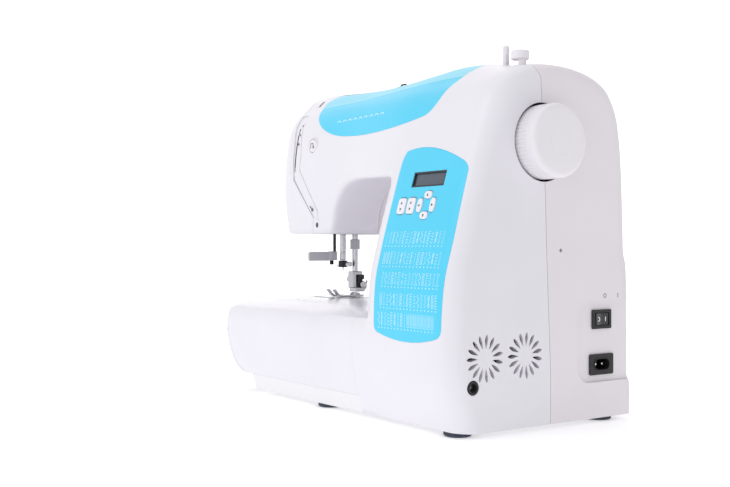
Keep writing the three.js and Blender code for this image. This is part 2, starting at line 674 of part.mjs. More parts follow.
function needleThreader() {
  const rod = rodZ(NEEDLE.x - 7, NEEDLE.y - 5.5, 133, 214, 1.5, 10);
  const carrier = block(NEEDLE.x - 9.5, NEEDLE.x - 4.9, NEEDLE.y - 12, NEEDLE.y - 3.5, 131, 140);
  const tab = block(NEEDLE.x - 9, NEEDLE.x - 6.6, NEEDLE.y - 36, NEEDLE.y - 11, 130.5, 139.5);
  return join(rod, carrier, tab);
}

function takeUpLever() {
  const side = [[-6, 220], [0, 220], [2, 226], [-4, 234], [-26, 248], [-41, 260], [-44, 257], [-30, 243],
    [-10, 228]];
  return prismX(shapeOf(side), -131.6, -129.6).subtract(rodX(-135, -126, -2, 224.5, 1.9, 10));
}

function tensionDial() {
  const { x0, x1, y, z, r } = DIAL;
  return rodX(x0, x1, y, z, r, 28).subtract(rodX(x0 - 1, x1 + 1, y, z, 3, 12));
}

function winderSpindle() {
  const post = rodZ(WINDER.x, WINDER.y, 274, 309.3, 2.7, 14);
  const flange = rodZ(WINDER.x, WINDER.y, 278, 281, 9, 18);
  return join(post, flange);
}

function winderStop() {
  return join(rodZ(STOP.x, STOP.y, 280, 296, 3.2, 14), rodZ(STOP.x - 2.6, STOP.y, 295.9, 303, 7.4, 24));
}

function spoolPin() {
  const pin = rodX(SPOOL_TRAY.x0 + 22, SPOOL_TRAY.x1 - 0.4, 36, 277, 3, 14);
  return join(pin, rodX(SPOOL_TRAY.x1 - 6, SPOOL_TRAY.x1 - 0.4, 36, 277, 7, 16));
}

const GUIDE_Z = 295.3; // the guide stands on the arm's crown

function threadGuide() {
  const plate = block(-31, -17, 4, 10, GUIDE_Z, GUIDE_Z + 1.2);
  const post = rodZ(-28, 7, GUIDE_Z + 1.1, GUIDE_Z + 3.6, 1.6, 10);
  const hook = rodZ(-20, 7, GUIDE_Z + 1.1, GUIDE_Z + 3.6, 1.6, 10);
  return join(plate, post, hook, block(-28, -22, 6.2, 7.8, GUIDE_Z + 2.2, GUIDE_Z + 3.5));
}

function armFrame() {
  const column = block(92, 140, 36, 56, PAN_TOP + 2, 256);
  const upper = block(-146, 160, 36, 54, 214, 256);
  const lower = block(-150, 138, 2, 21, 22, 70);
  const tie = block(96, 138, 20, 37, 22, 70);
  const bearings = [[100, 110], [-62, -52]].map(([x0, x1]) => block(x0, x1, -14, 37, 216, 240));
  const headPlates = [[170, 178], [198, 206]].map(([z0, z1]) => block(-122, -94, -18, 37, z0, z1));
  const spine = block(-122, -94, 24, 40, 168, 216);
  return cut(
    join(column, upper, lower, tie, ...bearings, ...headPlates, spine),
    rodX(-100, 150, SHAFT.y, SHAFT.z, 4.4, 16),
    rodZ(NEEDLE.x, NEEDLE.y, 165, 225, 3.4, 16),
    rodZ(PRESSER.x, PRESSER.y, 165, 225, 3.6, 16),
    rodZ(NEEDLE.x - 7, NEEDLE.y - 5.5, 165, 225, 2, 10),
  );
}

function mainMotor() {
  const can = rodX(88, 134, MOTOR.y, MOTOR.z, 22, 28);
  const shaft = rodX(133, 149, MOTOR.y, MOTOR.z, 2.2, 12);
  const bracket = block(98, 126, MOTOR.y - 26, MOTOR.y + 26, PAN_BOTTOM + 3 + GAP, 42);
  return join(can, shaft, bracket);
}

function rotaryHook() {
  const cup = rodZ(HOOK.x, HOOK.y, 60, 84, 16, 28).subtract(rodZ(HOOK.x, HOOK.y, 63, 90, 14.4, 28));
  const stub = rodZ(HOOK.x, HOOK.y, 46, 61, 3, 14);
  return join(cup, stub, rodZ(HOOK.x, HOOK.y, 46, 52, 8, 20));
}

function bobbinCase() {
  return rodZ(HOOK.x, HOOK.y, 63.4, 86, 14, 28).subtract(rodZ(HOOK.x, HOOK.y, 66, 90, 12, 24));
}

function bobbin() {
  const outline = [[3, 67], [10.6, 67], [10.6, 68.4], [5, 69.2], [5, 76.2], [10.6, 77], [10.6, 78.4], [3,
    78.4], [3, 67]];
  const lathe = new THREE.LatheGeometry(outline.map(([r, z]) => new THREE.Vector2(r, z)), 24);
  lathe.rotateX(Math.PI / 2);
  lathe.translate(HOOK.x, HOOK.y, 0);
  return toSolid(lathe);
}

function switchHousing() {
  const face = END - RECESS.depth;
  const bezel = prismX(rect(SWITCH.y, SWITCH.z, SWITCH.w, SWITCH.h), face + GAP, face + 1.8);
  const body = prismX(rect(SWITCH.y, SWITCH.z, SWITCH.w - 3.8, SWITCH.h - 3.8), face - 16, face + 1);
  const well = prismX(rect(SWITCH.y, SWITCH.z, SWITCH.w - 6, SWITCH.h - 5.4), face - 9, face + 4);
  return cut(join(bezel, body), well);
}

function powerRocker() {
  const face = END - RECESS.depth;
  const half = (SWITCH.w - 6.6) / 2;
  const plan = [[face - 4, -half], [face - 4, half], [face + 0.6, half], [face + 2.4, half - 1],
    [face + 0.9, 0],
    [face + 1.6, -half + 1], [face + 0.2, -half]];
  const rocker = prismZ(shapeOf(plan.map(([x, dy]) => [x, SWITCH.y - dy]).reverse()),
    SWITCH.z - (SWITCH.h - 6.2) / 2, SWITCH.z + (SWITCH.h - 6.2) / 2);
  return rocker;
}

function powerInlet() {
  const face = END - RECESS.depth;
  const bezel = prismX(rect(INLET.y, INLET.z, INLET.w, INLET.h), face + GAP, face + 1.8);
  const body = prismX(rect(INLET.y, INLET.z, INLET.w - 3.8, INLET.h - 3.8), face - 20, face + 1);
  const socket = prismX(roundedRect(INLET.y - 8.4, INLET.y + 8.4, INLET.z - 4.4, INLET.z + 4.4, 4.3),
    face - 14, face + 3);
  const pins = [-4, 4].map((dy) => rodX(face - 15, face - 1.5, INLET.y + dy, INLET.z, 1.2, 10));
  return join(cut(join(bezel, body), socket), ...pins);
}

function pedalJack() {
  const barrel = rodX(END - 14, END + 0.8, JACK.y, JACK.z, JACK.r, 20);
  return barrel.subtract(rodX(END - 12, END + 2, JACK.y, JACK.z, 3.3, 16));
}

add('front_cover', frontCover(), WHITE, 0.35);
add('rear_cover', rearCover(), WHITE, 0.4);
add('face_cover', faceCover(), WHITE, 0.35);
add('base_pan', basePan(), WHITE, 0.45);
for (const [name, x, y] of FEET) {
  add(`foot_${name}`, foot(x, y), RUBBER, 0.8);
}
add('extension_table', extensionTable(), WHITE, 0.2);
add('accessory_lid', accessoryLid(), WHITE, 0.35);
add('free_arm_cover', freeArmCover(), WHITE, 0.25);
add('needle_plate', needlePlate(), STEEL, 0.25, 1);
add('feed_dog', feedDog(), STEEL, 0.35, 1);
add('bobbin_cover', prismZ(coverShape(0), BED_TOP - 4.2, BED_TOP + 3, 5).intersect(bed(0.1, -140, -70)),
  0xdde6ea, 0.1);
add('control_panel', controlPanel(), BLUE, 0.35);
add('display_window', displayWindow(), 0x586673, 0.2);
for (const key of SELECT_KEYS) add(key.name, panelKey(selectShape(key, 0)), WHITE, 0.4);
for (const key of ARROW_KEYS) add(key.name, panelKey(arrowShape(key, 0)), WHITE, 0.4);
add('arm_trim', trimLayer(0, 0, 1), BLUE, 0.35);
add('reverse_button', rodY(-98.5, -49, -36, 243, 6.5, 24), WHITE, 0.35);
add('handwheel', handwheel(), GREY, 0.4);
add('main_shaft', rodX(-90, 163.7, SHAFT.y, SHAFT.z, 4, 16), STEEL, 0.3, 1);
add('drive_pulley', rodX(DRIVE.x0, DRIVE.x1, SHAFT.y, SHAFT.z, DRIVE_RADIUS, 32)
  .subtract(rodX(130, 155, SHAFT.y, SHAFT.z, 4.3, 16)), DARK, 0.6);
add('crank_disc', rodX(-96, -90.3, SHAFT.y, SHAFT.z, 16, 28), STEEL, 0.35, 1);
add('timing_pulley', rodX(TIMING.x0, TIMING.x1, SHAFT.y, SHAFT.z, TIMING_RADIUS, 20)
  .subtract(rodX(60, 90, SHAFT.y, SHAFT.z, 4.3, 16)), STEEL, 0.4, 1);
add('motor_pulley', rodX(DRIVE.x0, DRIVE.x1, MOTOR.y, MOTOR.z, MOTOR_PULLEY_RADIUS, 20)
  .subtract(rodX(130, 155, MOTOR.y, MOTOR.z, 2.5, 12)), DARK, 0.5);
add('drive_belt', belt(DRIVE.x0 + 1.5, DRIVE.x1 - 1.5, { ...SHAFT, r: DRIVE_RADIUS }, { ...MOTOR,
  r: MOTOR_PULLEY_RADIUS }, 1.6), DARK, 0.8);
add('timing_belt', belt(TIMING.x0 + 1, TIMING.x1 - 1, { ...SHAFT, r: TIMING_RADIUS }, { ...LOWER,
  r: TIMING_RADIUS }, 1.6), DARK, 0.8);
add('lower_shaft', join(
  rodX(-98, 80, LOWER.y, LOWER.z, 3.4, 14),
  rodX(-118, -97, LOWER.y, LOWER.z, 6, 18),
  rodX(TIMING.x0, TIMING.x1, LOWER.y, LOWER.z, TIMING_RADIUS, 20)), STEEL, 0.35, 1);
add('main_motor', mainMotor(), COPPER, 0.4, 0.8);
add('arm_frame', armFrame(), CAST, 0.6, 0.6);
add('main_board', block(76, 154, -62, -60.4, 88, 186), 0x1e6b45, 0.6);
add('needle_bar', needleBar(), STEEL, 0.2, 1);
add('needle_clamp', needleClamp(), STEEL, 0.25, 1);
add('needle_clamp_screw', rodX(NEEDLE.x + 8.3, NEEDLE.x + 14, NEEDLE.y, 127.2, 2.6, 14), STEEL, 0.3, 1);
add('needle', needle(), STEEL, 0.15, 1);
add('presser_bar', presserBar(), STEEL, 0.2, 1);
add('foot_holder', footHolder(), STEEL, 0.3, 1);
add('foot_holder_screw', rodX(PRESSER.x - 11, PRESSER.x - 5.3, PRESSER.y, 112, 3, 14), STEEL, 0.3, 1);
add('presser_foot', presserFoot(), STEEL, 0.2, 1);
add('presser_lifter', presserLifter(), GREY, 0.5);
add('needle_threader', needleThreader(), GREY, 0.4);
add('take_up_lever', takeUpLever(), STEEL, 0.2, 1);
add('tension_dial', tensionDial(), DARK, 0.5);
add('winder_spindle', winderSpindle(), WHITE, 0.4);
add('winder_stop', winderStop(), WHITE, 0.4);
add('spool_pin', spoolPin(), WHITE, 0.4);
add('thread_guide', threadGuide(), STEEL, 0.3, 1);
add('rotary_hook', rotaryHook(), STEEL, 0.25, 1);
add('bobbin_case', bobbinCase(), DARK, 0.45);
add('bobbin', bobbin(), 0xe4eaee, 0.1);
add('power_switch_housing', switchHousing(), DARK, 0.5);
add('power_rocker', powerRocker(), DARK, 0.35);
add('power_inlet', powerInlet(), DARK, 0.5);
add('pedal_jack', pedalJack(), DARK, 0.5);

export default machine;
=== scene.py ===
# Computerised sewing machine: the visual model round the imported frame. Shapes are worked out in millimetres
# and turned into metres when a piece is finished. X runs to the handwheel, Y to the back, Z up.
import json
import math

import bmesh
import bpy
import numpy as np
from mathutils import Matrix, Vector
from mathutils.bvhtree import BVHTree
from mathutils.interpolate import poly_3d_calc

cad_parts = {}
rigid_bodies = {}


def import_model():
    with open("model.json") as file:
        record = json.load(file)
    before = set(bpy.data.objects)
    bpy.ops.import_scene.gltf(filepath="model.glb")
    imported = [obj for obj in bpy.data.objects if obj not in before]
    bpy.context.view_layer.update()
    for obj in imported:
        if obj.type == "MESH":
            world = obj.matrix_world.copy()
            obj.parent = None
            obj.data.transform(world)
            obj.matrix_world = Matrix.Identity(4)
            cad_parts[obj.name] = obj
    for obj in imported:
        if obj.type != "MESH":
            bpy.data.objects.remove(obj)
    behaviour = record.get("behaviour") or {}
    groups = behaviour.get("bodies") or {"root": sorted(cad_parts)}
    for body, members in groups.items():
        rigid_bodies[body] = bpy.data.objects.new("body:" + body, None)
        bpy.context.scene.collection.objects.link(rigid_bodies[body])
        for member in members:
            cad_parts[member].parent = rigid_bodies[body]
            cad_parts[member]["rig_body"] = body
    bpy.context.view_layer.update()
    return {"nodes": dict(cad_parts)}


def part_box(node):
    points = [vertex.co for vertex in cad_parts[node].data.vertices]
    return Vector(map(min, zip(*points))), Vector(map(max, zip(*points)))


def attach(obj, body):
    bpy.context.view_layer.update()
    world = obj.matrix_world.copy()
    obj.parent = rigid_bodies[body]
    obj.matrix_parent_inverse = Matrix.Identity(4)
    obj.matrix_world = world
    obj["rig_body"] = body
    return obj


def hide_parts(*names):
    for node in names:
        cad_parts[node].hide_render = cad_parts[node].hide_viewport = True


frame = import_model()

MM = 0.001


def corners(node):
    """A CAD node's lowest and highest corner, in millimetres."""
    low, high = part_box(node)
    return low / MM, high / MM


# ---------------------------------------------------------------- driving dimensions, from the frame
END = corners("rear_cover")[1].x
ARM_LEFT = corners("face_cover")[0].x
PAN_LEFT = corners("base_pan")[0].x
PAN_BOTTOM, PAN_TOP = corners("base_pan")[0].z, corners("base_pan")[1].z
TABLE_LEFT, TABLE_RIGHT = corners("extension_table")[0].x, corners("extension_table")[1].x
BED_TOP = corners("free_arm_cover")[1].z
HEAD_BOTTOM = corners("face_cover")[0].z
ARM_FREE_LOW, ARM_FREE_HIGH = corners("free_arm_cover")
REAR = 96.0
WALL = 2.6
GAP = 0.35
FINE_GAP = 0.12  # between the table, the pillar and the base
SEAM_GAP = 0.5
HARP_TOP = 205.0
HARP_RIGHT = 62.0
FAR = 110  # past the machine's front and back


def centre(node):
    low, high = corners(node)
    return (low + high) / 2


WHEEL = centre("handwheel")
NEEDLE = centre("needle")
PRESSER = centre("presser_bar")
HOOK = centre("rotary_hook")


# ---------------------------------------------------------------- flat outlines
class Path:
    """A flat outline of lines and curves."""

    def __init__(self, a, b):
        self.points = [(a, b)]

    def line(self, a, b):
        self.points.append((a, b))
        return self

    def quad(self, ca, cb, a, b, steps=12):
        sa, sb = self.points[-1]
        for i in range(1, steps + 1):
            t = i / steps
            u = 1 - t
            self.points.append(
                (u * u * sa + 2 * u * t * ca + t * t * a, u * u * sb + 2 * u * t * cb + t * t * b)
            )
        return self

    def cubic(self, c1, c2, end, steps=24):
        start = self.points[-1]
        for i in range(1, steps + 1):
            t = i / steps
            u = 1 - t
            weights = (u ** 3, 3 * u * u * t, 3 * u * t * t, t ** 3)
            self.points.append(tuple(
                sum(w * p[k] for w, p in zip(weights, (start, c1, c2, end))) for k in (0, 1)))
        return self


def rounded(a0, a1, b0, b1, r, steps=8):
    """A rectangle with round corners."""
    points = []
    for ca, cb, turn in (
        (a1 - r, b0 + r, -90), (a1 - r, b1 - r, 0), (a0 + r, b1 - r, 90), (a0 + r, b0 + r, 180)
    ):
        for i in range(steps + 1):
            angle = math.radians(turn + 90 * i / steps)
            points.append((ca + r * math.cos(angle), cb + r * math.sin(angle)))
    return points


def circle(a, b, r, steps=32):
    return [
        (a + r * math.cos(math.tau * i / steps), b + r * math.sin(math.tau * i / steps))
        for i in range(steps)
    ]


def catmull(points, spacing, like=None):
    """A smooth curve through the points, sampled about every `spacing`, in as many steps as `like` needs."""
    like = like or points
    out = []
    count = len(points)
    for i in range(count - 1):
        p0, p1, p2, p3 = points[max(i - 1, 0)], points[i], points[i + 1], points[min(i + 2, count - 1)]
        steps = max(2, round(math.dist(like[i], like[i + 1]) / spacing))
        for s in range(steps):
            t = s / steps
            out.append(
                tuple(
                    0.5
                    * (
                        2 * b + (c - a) * t + (2 * a - 5 * b + 4 * c - d) * t * t
                        + (3 * b - a - 3 * c + d) * t ** 3
                    )
                    for a, b, c, d in zip(p0, p1, p2, p3)
                )
            )
    out.append(tuple(points[-1]))
    return out


# ---------------------------------------------------------------- solids
def solid(vertices, faces):
    """A working object, in millimetres, with its faces pointing out."""
    mesh = bpy.data.meshes.new("work")
    mesh.from_pydata([tuple(v) for v in vertices], [], faces)
    work = bmesh.new()
    work.from_mesh(mesh)
    bmesh.ops.remove_doubles(work, verts=work.verts, dist=1e-4)
    bmesh.ops.recalc_face_normals(work, faces=work.faces)
    work.to_mesh(mesh)
    work.free()
    made = bpy.data.objects.new("work", mesh)
    bpy.context.scene.collection.objects.link(made)
    return made


PLACES = {
    "X": lambda a, b, h: (h, a, b),
    "Y": lambda a, b, h: (a, h, b),
    "Z": lambda a, b, h: (a, b, h),
}


def prism(axis, outline, low, high):
    """An outline drawn in the other two axes, run from low to high along the axis."""
    count = len(outline)
    place = PLACES[axis]
    vertices = [place(a, b, h) for h in (low, high) for a, b in outline]
    faces = [(i, (i + 1) % count, count + (i + 1) % count, count + i) for i in range(count)]
    return solid(vertices, [*faces, tuple(range(count)), tuple(range(count, 2 * count))])


def block(x0, x1, y0, y1, z0, z1):
    return prism("Z", [(x0, y0), (x1, y0), (x1, y1), (x0, y1)], z0, z1)


def loft(rings):
    """A closed skin through rings of equally many points."""
    count = len(rings[0])
    vertices = [p for ring in rings for p in ring]
    faces = []
    for r in range(len(rings) - 1):
        for i in range(count):
            a, b = r * count + i, r * count + (i + 1) % count
            faces.append((a, b, b + count, a + count))
    last = (len(rings) - 1) * count
    return solid(vertices, [*faces, tuple(range(count)), tuple(range(last, last + count))])


def lathe(axis, profile, a=0.0, b=0.0, sides=64):
    """A profile of (radius, height) turned round an axis through (a, b)."""
    place = PLACES[axis]
    vertices, rows = [], []
    for r, h in profile:
        row = []
        for i in range(1 if r < 1e-6 else sides):
            angle = math.tau * i / sides
            row.append(len(vertices))
            vertices.append(place(a + r * math.cos(angle), b + r * math.sin(angle), h))
        rows.append(row)
    faces = []
    for low, high in zip(rows, rows[1:]):
        for i in range(sides):
            j = (i + 1) % sides
            ring = [low[i % len(low)], low[j % len(low)], high[j % len(high)], high[i % len(high)]]
            faces.append(tuple(dict.fromkeys(ring)))
    return solid(vertices, [f for f in faces if len(f) > 2])


def rod(axis, a, b, low, high, r, edge=0.0, sides=40):
    """A round rod with its ends rounded by `edge`."""
    arc = [(math.sin(math.radians(t)), 1 - math.cos(math.radians(t))) for t in (0, 30, 60, 90)]
    if edge <= 0:
        return lathe(axis, [(0, low), (r, low), (r, high), (0, high)], a, b, sides)
    start = [(r - edge + edge * s, low + edge - edge * (1 - c)) for s, c in arc]
    stop = [(r - edge + edge * s, high - edge + edge * (1 - c)) for s, c in reversed(arc)]
    return lathe(axis, [(0, low), *start, *stop, (0, high)], a, b, sides)


def wire(points, r, sides=10, smooth=True):
    """A round wire along a smooth line through the points."""
    curve = bpy.data.curves.new("work", "CURVE")
    curve.dimensions = "3D"
    curve.bevel_depth = r
    curve.bevel_resolution = max(2, sides // 4)
    curve.use_fill_caps = True
    line = curve.splines.new("POLY")
    path = catmull(points, 1.2) if smooth else points
    line.points.add(len(path) - 1)
    for point, at in zip(line.points, path):
        point.co = (*at, 1)
    made = bpy.data.objects.new("work", curve)
    bpy.context.scene.collection.objects.link(made)
    mesh = bpy.data.meshes.new_from_object(made.evaluated_get(bpy.context.evaluated_depsgraph_get()))
    bpy.data.objects.remove(made)
    work = bmesh.new()
    work.from_mesh(mesh)
    bmesh.ops.remove_doubles(work, verts=work.verts, dist=1e-5)
    work.to_mesh(mesh)
    work.free()
    made = bpy.data.objects.new("work", mesh)
    bpy.context.scene.collection.objects.link(made)
    return made


def apply(target):
    """Turns the object's modifiers into its mesh."""
    made = bpy.data.meshes.new_from_object(target.evaluated_get(bpy.context.evaluated_depsgraph_get()))
    target.modifiers.clear()
    target.data = made
    return target


def boolean(target, operation, *tools):
    for tool in tools:
        modifier = target.modifiers.new("boolean", "BOOLEAN")
        modifier.operation = operation
        modifier.solver = "MANIFOLD"
        modifier.object = tool
        apply(target)
        bpy.data.objects.remove(tool)
    return target


def cut(target, *tools):
    return boolean(target, "DIFFERENCE", *tools)


def keep(target, *tools):
    return boolean(target, "INTERSECT", *tools)


def join(target, *tools):
    return boolean(target, "UNION", *tools)


def merge(*parts):
    """Several pieces in one mesh, without a boolean."""
    work = bmesh.new()
    for part in parts:
        work.from_mesh(part.data)
    target = parts[0]
    for part in parts[1:]:
        bpy.data.objects.remove(part)
    work.to_mesh(target.data)
    work.free()
    return target


def copy(source, offset=(0, 0, 0)):
    made = bpy.data.objects.new("work", source.data.copy())
    bpy.context.scene.collection.objects.link(made)
    made.data.transform(Matrix.Translation(offset))
    return made


def drop(*objects):
    for gone in objects:
        bpy.data.objects.remove(gone)


def bevel(target, width, segments=3, angle=32):
    modifier = target.modifiers.new("bevel", "BEVEL")
    modifier.width = width
    modifier.segments = segments
    modifier.limit_method = "ANGLE"
    modifier.angle_limit = math.radians(angle)
    modifier.harden_normals = False
    return apply(target)


def melt(target, voxel, passes, far=None):
    """Rounds every edge: an even remesh, then smoothing, with extra passes where `far` says how much."""
    remesh = target.modifiers.new("remesh", "REMESH")
    remesh.mode = "VOXEL"
    remesh.voxel_size = voxel
    apply(target)
    smooth = target.modifiers.new("smooth", "SMOOTH")
    smooth.factor = 0.5
    smooth.iterations = passes
    apply(target)
    if far is not None:
        weight, more = far
        group = target.vertex_groups.new(name="far")
        for vertex in target.data.vertices:
            share = weight(vertex.co)
            if share > 0:
                group.add([vertex.index], share, "REPLACE")
        smooth = target.modifiers.new("smooth", "SMOOTH")
        smooth.factor = 0.5
        smooth.iterations = more
        smooth.vertex_group = "far"
        apply(target)
        target.vertex_groups.clear()
    return target


def soften(target, angle=34):
    """Smooth shading that breaks at sharp edges."""
    work = bmesh.new()
    work.from_mesh(target.data)
    bmesh.ops.dissolve_degenerate(work, dist=1e-4, edges=work.edges)
    limit = math.radians(angle)
    for face in work.faces:
        face.smooth = True
    for edge in work.edges:
        edge.smooth = len(edge.link_faces) == 2 and edge.calc_face_angle(0) < limit
    work.to_mesh(target.data)
    work.free()
    weighted = target.modifiers.new("normals", "WEIGHTED_NORMAL")
    weighted.keep_sharp = True
    weighted.weight = 60
    return target


def body_of(node):
    return frame["nodes"][node]["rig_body"]


def smooth_normals(source, passes):
    """Evened normals of a fine closed mesh, one for each vertex."""
    mesh = source.data
    normals = np.empty(len(mesh.vertices) * 3)
    mesh.vertex_normals.foreach_get("vector", normals)
    normals = normals.reshape(-1, 3)
    edges = np.empty(len(mesh.edges) * 2, np.int32)
    mesh.edges.foreach_get("vertices", edges)
    a, b = edges.reshape(-1, 2).T
    for _ in range(passes):
        total = normals.copy()
        for axis in range(3):
            total[:, axis] += (
                np.bincount(a, normals[b, axis], len(normals))
                + np.bincount(b, normals[a, axis], len(normals))
            )
        normals = total / np.linalg.norm(total, axis=1, keepdims=True)
    return normals


def shade_like(target, skin, near=0.08, turn=0.93):
    """Corner normals: where the piece lies on the skin it was cut from, they are the skin's evened ones."""
    tree, corners_of, normals = skin
    mesh = target.data
    found = {}
    for vertex in mesh.vertices:
        at, _, index, _ = tree.find_nearest(vertex.co, near)
        if at is None:
            continue
        face = corners_of[index]
        weights = poly_3d_calc([Vector(p) for p, _ in face], at)
        found[vertex.index] = sum(
            (Vector(normals[i]) * w for (_, i), w in zip(face, weights)), Vector()
        ).normalized()
    split = [tuple(n.vector) for n in mesh.corner_normals]
    for polygon in mesh.polygons:
        near_skin = [found.get(i) for i in polygon.vertices]
        whole = all(n is not None for n in near_skin)
        lenient = whole and (polygon.area < 0.3 or near_skin[0].dot(polygon.normal) > 0.5)
        for corner, normal in zip(polygon.loop_indices, near_skin):
            if normal is not None and (lenient or normal.dot(polygon.normal) > turn):
                split[corner] = tuple(normal)
    return split


def skin_shading(source, passes=26):
    mesh = source.data
    places = [(tuple(v.co), v.index) for v in mesh.vertices]
    corners_of = [[places[i] for i in p.vertices] for p in mesh.polygons]
    tree = BVHTree.FromPolygons([v.co for v in mesh.vertices], [tuple(p.vertices) for p in mesh.polygons])
    return tree, corners_of, smooth_normals(source, passes)


def finish(target, name, material, slot, *nodes, body=None, angle=34, skin=None):
    """Names a finished piece, puts it in metres, gives it its material and sets it on its body."""
    target.name = name
    target.data.name = name
    soften(target, angle)
    if skin is not None:
        apply(target)
        split = shade_like(target, skin)
    target.data.transform(Matrix.Scale(MM, 4))
    if skin is not None:
        target.data.normals_split_custom_set(split)
    target.data.materials.clear()
    target.data.materials.append(material)
    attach(target, body or body_of(nodes[0]))
    if nodes:
        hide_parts(*nodes)
    return target


# ---------------------------------------------------------------- materials
def srgb(r, g, b):
    """A colour given as it looks on screen, 0 to 255."""
    def linear(v):
        v /= 255
        return v / 12.92 if v <= 0.04045 else ((v + 0.055) / 1.055) ** 2.4
    return (linear(r), linear(g), linear(b), 1.0)


class Nodes:
    """A material's node tree, with short ways to add and join nodes."""

    def __init__(self, name):
        self.material = bpy.data.materials.new(name)
        self.material.use_nodes = True
        self.tree = self.material.node_tree
        self.tree.nodes.clear()
        self.shader = self.add("ShaderNodeBsdfPrincipled")
        output = self.add("ShaderNodeOutputMaterial")
        self.link(self.shader, "BSDF", output, "Surface")
        self.place = self.add("ShaderNodeTexCoord")

    def add(self, kind, **settings):
        node = self.tree.nodes.new(kind)
        for key, value in settings.items():
            if hasattr(node, key):
                setattr(node, key, value)
            else:
                node.inputs[key.replace("_", " ")].default_value = value
        return node

    def link(self, a, out, b, into):
        self.tree.links.new(a.outputs[out], b.inputs[into])

    def noise(self, scale, detail=2.0, stretch=(1, 1, 1)):
        mapping = self.add("ShaderNodeMapping", Scale=stretch)
        self.link(self.place, "Object", mapping, "Vector")
        node = self.add("ShaderNodeTexNoise", Scale=scale, Detail=detail)
        self.link(mapping, "Vector", node, "Vector")
        return node

    def ramp(self, source, out, low, high, start=0.3, stop=0.7):
        node = self.add("ShaderNodeValToRGB")
        node.color_ramp.elements[0].position = start
        node.color_ramp.elements[0].color = low
        node.color_ramp.elements[1].position = stop
        node.color_ramp.elements[1].color = high
        self.link(source, out, node, "Fac")
        return node

    def tint(self, source, out, low, high, start=0.3, stop=0.7):
        """The surface's colour: from low to high along a noise or a pattern."""
        self.link(self.ramp(source, out, low, high, start, stop), "Color", self.shader, "Base Color")

    def gloss(self, source, low, high):
        """The surface's roughness: uneven, from low to high."""
        node = self.add("ShaderNodeMapRange", To_Min=low, To_Max=high)
        self.link(source, "Fac", node, "Value")
        self.link(node, "Result", self.shader, "Roughness")

    def set(self, name, value):
        self.shader.inputs[name].default_value = value

    def flat_map(self):
        """Places across the front, without depth."""
        node = self.add("ShaderNodeMapping", Scale=(1, 0, 1))
        self.link(self.place, "Object", node, "Vector")
        return node

    def bump(self, source, out, strength, depth_mm):
        node = self.add("ShaderNodeBump", Strength=strength, Distance=depth_mm * MM)
        self.link(source, out, node, "Height")
        self.link(node, "Normal", self.shader, "Normal")
        return node


def shade_of(color, k):
    return (color[0] * k, color[1] * k, color[2] * k, 1.0)


def plastic(name, color, rough, coat=0.0, grain=0.012, grain_scale=1400, drift=0.035, ior=1.5):
    """Moulded plastic: a slow drift of colour, uneven gloss and a fine surface grain."""
    n = Nodes(name)
    cloud = n.noise(14, 3)
    n.tint(cloud, "Fac", shade_of(color, 1 - drift), shade_of(color, min(1.0, 1 + drift * 0.4)))
    film = n.noise(60, 4)
    n.gloss(film, rough * 0.82, rough * 1.2)
    n.bump(n.noise(grain_scale, 2), "Fac", 0.35, grain)
    n.set("IOR", ior)
    n.set("Coat Weight", coat)
    n.set("Coat Roughness", 0.06)
    return n.material


def metal(name, color, rough, brush=(1, 1, 1), scale=600, depth=0.006, cloudy=0.08):
    """Bare or plated metal, with brushing drawn out along one axis."""
    n = Nodes(name)
    stain = n.noise(45, 4)
    n.tint(stain, "Fac", shade_of(color, 1 - cloudy), shade_of(color, 1.0))
    streak = n.noise(scale, 3, brush)
    n.gloss(streak, rough * 0.7, rough * 1.4)
    n.bump(streak, "Fac", 0.3, depth)
    n.set("Metallic", 1.0)
    return n.material


def rubber(name, color, rough=0.75, ribs=0.0):
    """Rubber, with a dry mottle and optional ribs."""
    n = Nodes(name)
    mottle = n.noise(220, 5)
    n.tint(mottle, "Fac", shade_of(color, 0.75), shade_of(color, 1.15))
    n.set("Roughness", rough)
    n.bump(mottle, "Fac", 0.5, 0.05 + ribs)
    return n.material


def display_material():
    """A dark liquid crystal window with its faint rows of dots."""
    n = Nodes("lcd_window")
    mapping = n.flat_map()
    dots = n.add(
        "ShaderNodeTexBrick", offset=0.0, Scale=620.0, Mortar_Size=0.12, Brick_Width=1.0, Row_Height=1.0,
        Color1=srgb(66, 80, 94), Color2=srgb(60, 74, 88), Mortar=srgb(54, 67, 80)
    )
    swap = n.add("ShaderNodeSeparateXYZ")
    pack = n.add("ShaderNodeCombineXYZ")
    n.link(mapping, "Vector", swap, "Vector")
    n.link(swap, "X", pack, "X")
    n.link(swap, "Z", pack, "Y")
    n.link(pack, "Vector", dots, "Vector")
    n.link(dots, "Color", n.shader, "Base Color")
    haze = n.noise(35, 2)
    n.gloss(haze, 0.14, 0.26)
    n.set("Coat Weight", 0.6)
    return n.material


def clear(name, color, rough=0.12, through=0.55):
    """Smoky transparent plastic with fine moulding marks."""
    n = Nodes(name)
    cloud = n.noise(40, 3)
    n.tint(cloud, "Fac", shade_of(color, 0.94), color)
    n.gloss(n.noise(90, 3), rough * 0.7, rough * 1.4)
    n.bump(n.noise(500, 2), "Fac", 0.2, 0.01)
    n.set("Transmission Weight", through)
    n.set("IOR", 1.45)
    return n.material


def board_material():
    """Green circuit board with copper runs under the lacquer."""
    n = Nodes("circuit_board")
    mapping = n.flat_map()
    runs = n.add("ShaderNodeTexVoronoi", distance="MANHATTAN", feature="DISTANCE_TO_EDGE", Scale=180.0)
    n.link(mapping, "Vector", runs, "Vector")
    n.tint(runs, "Distance", srgb(64, 132, 92), srgb(22, 84, 54), 0.03, 0.06)
    n.gloss(n.noise(120, 3), 0.3, 0.5)
    n.bump(runs, "Distance", 0.3, 0.05)
    return n.material


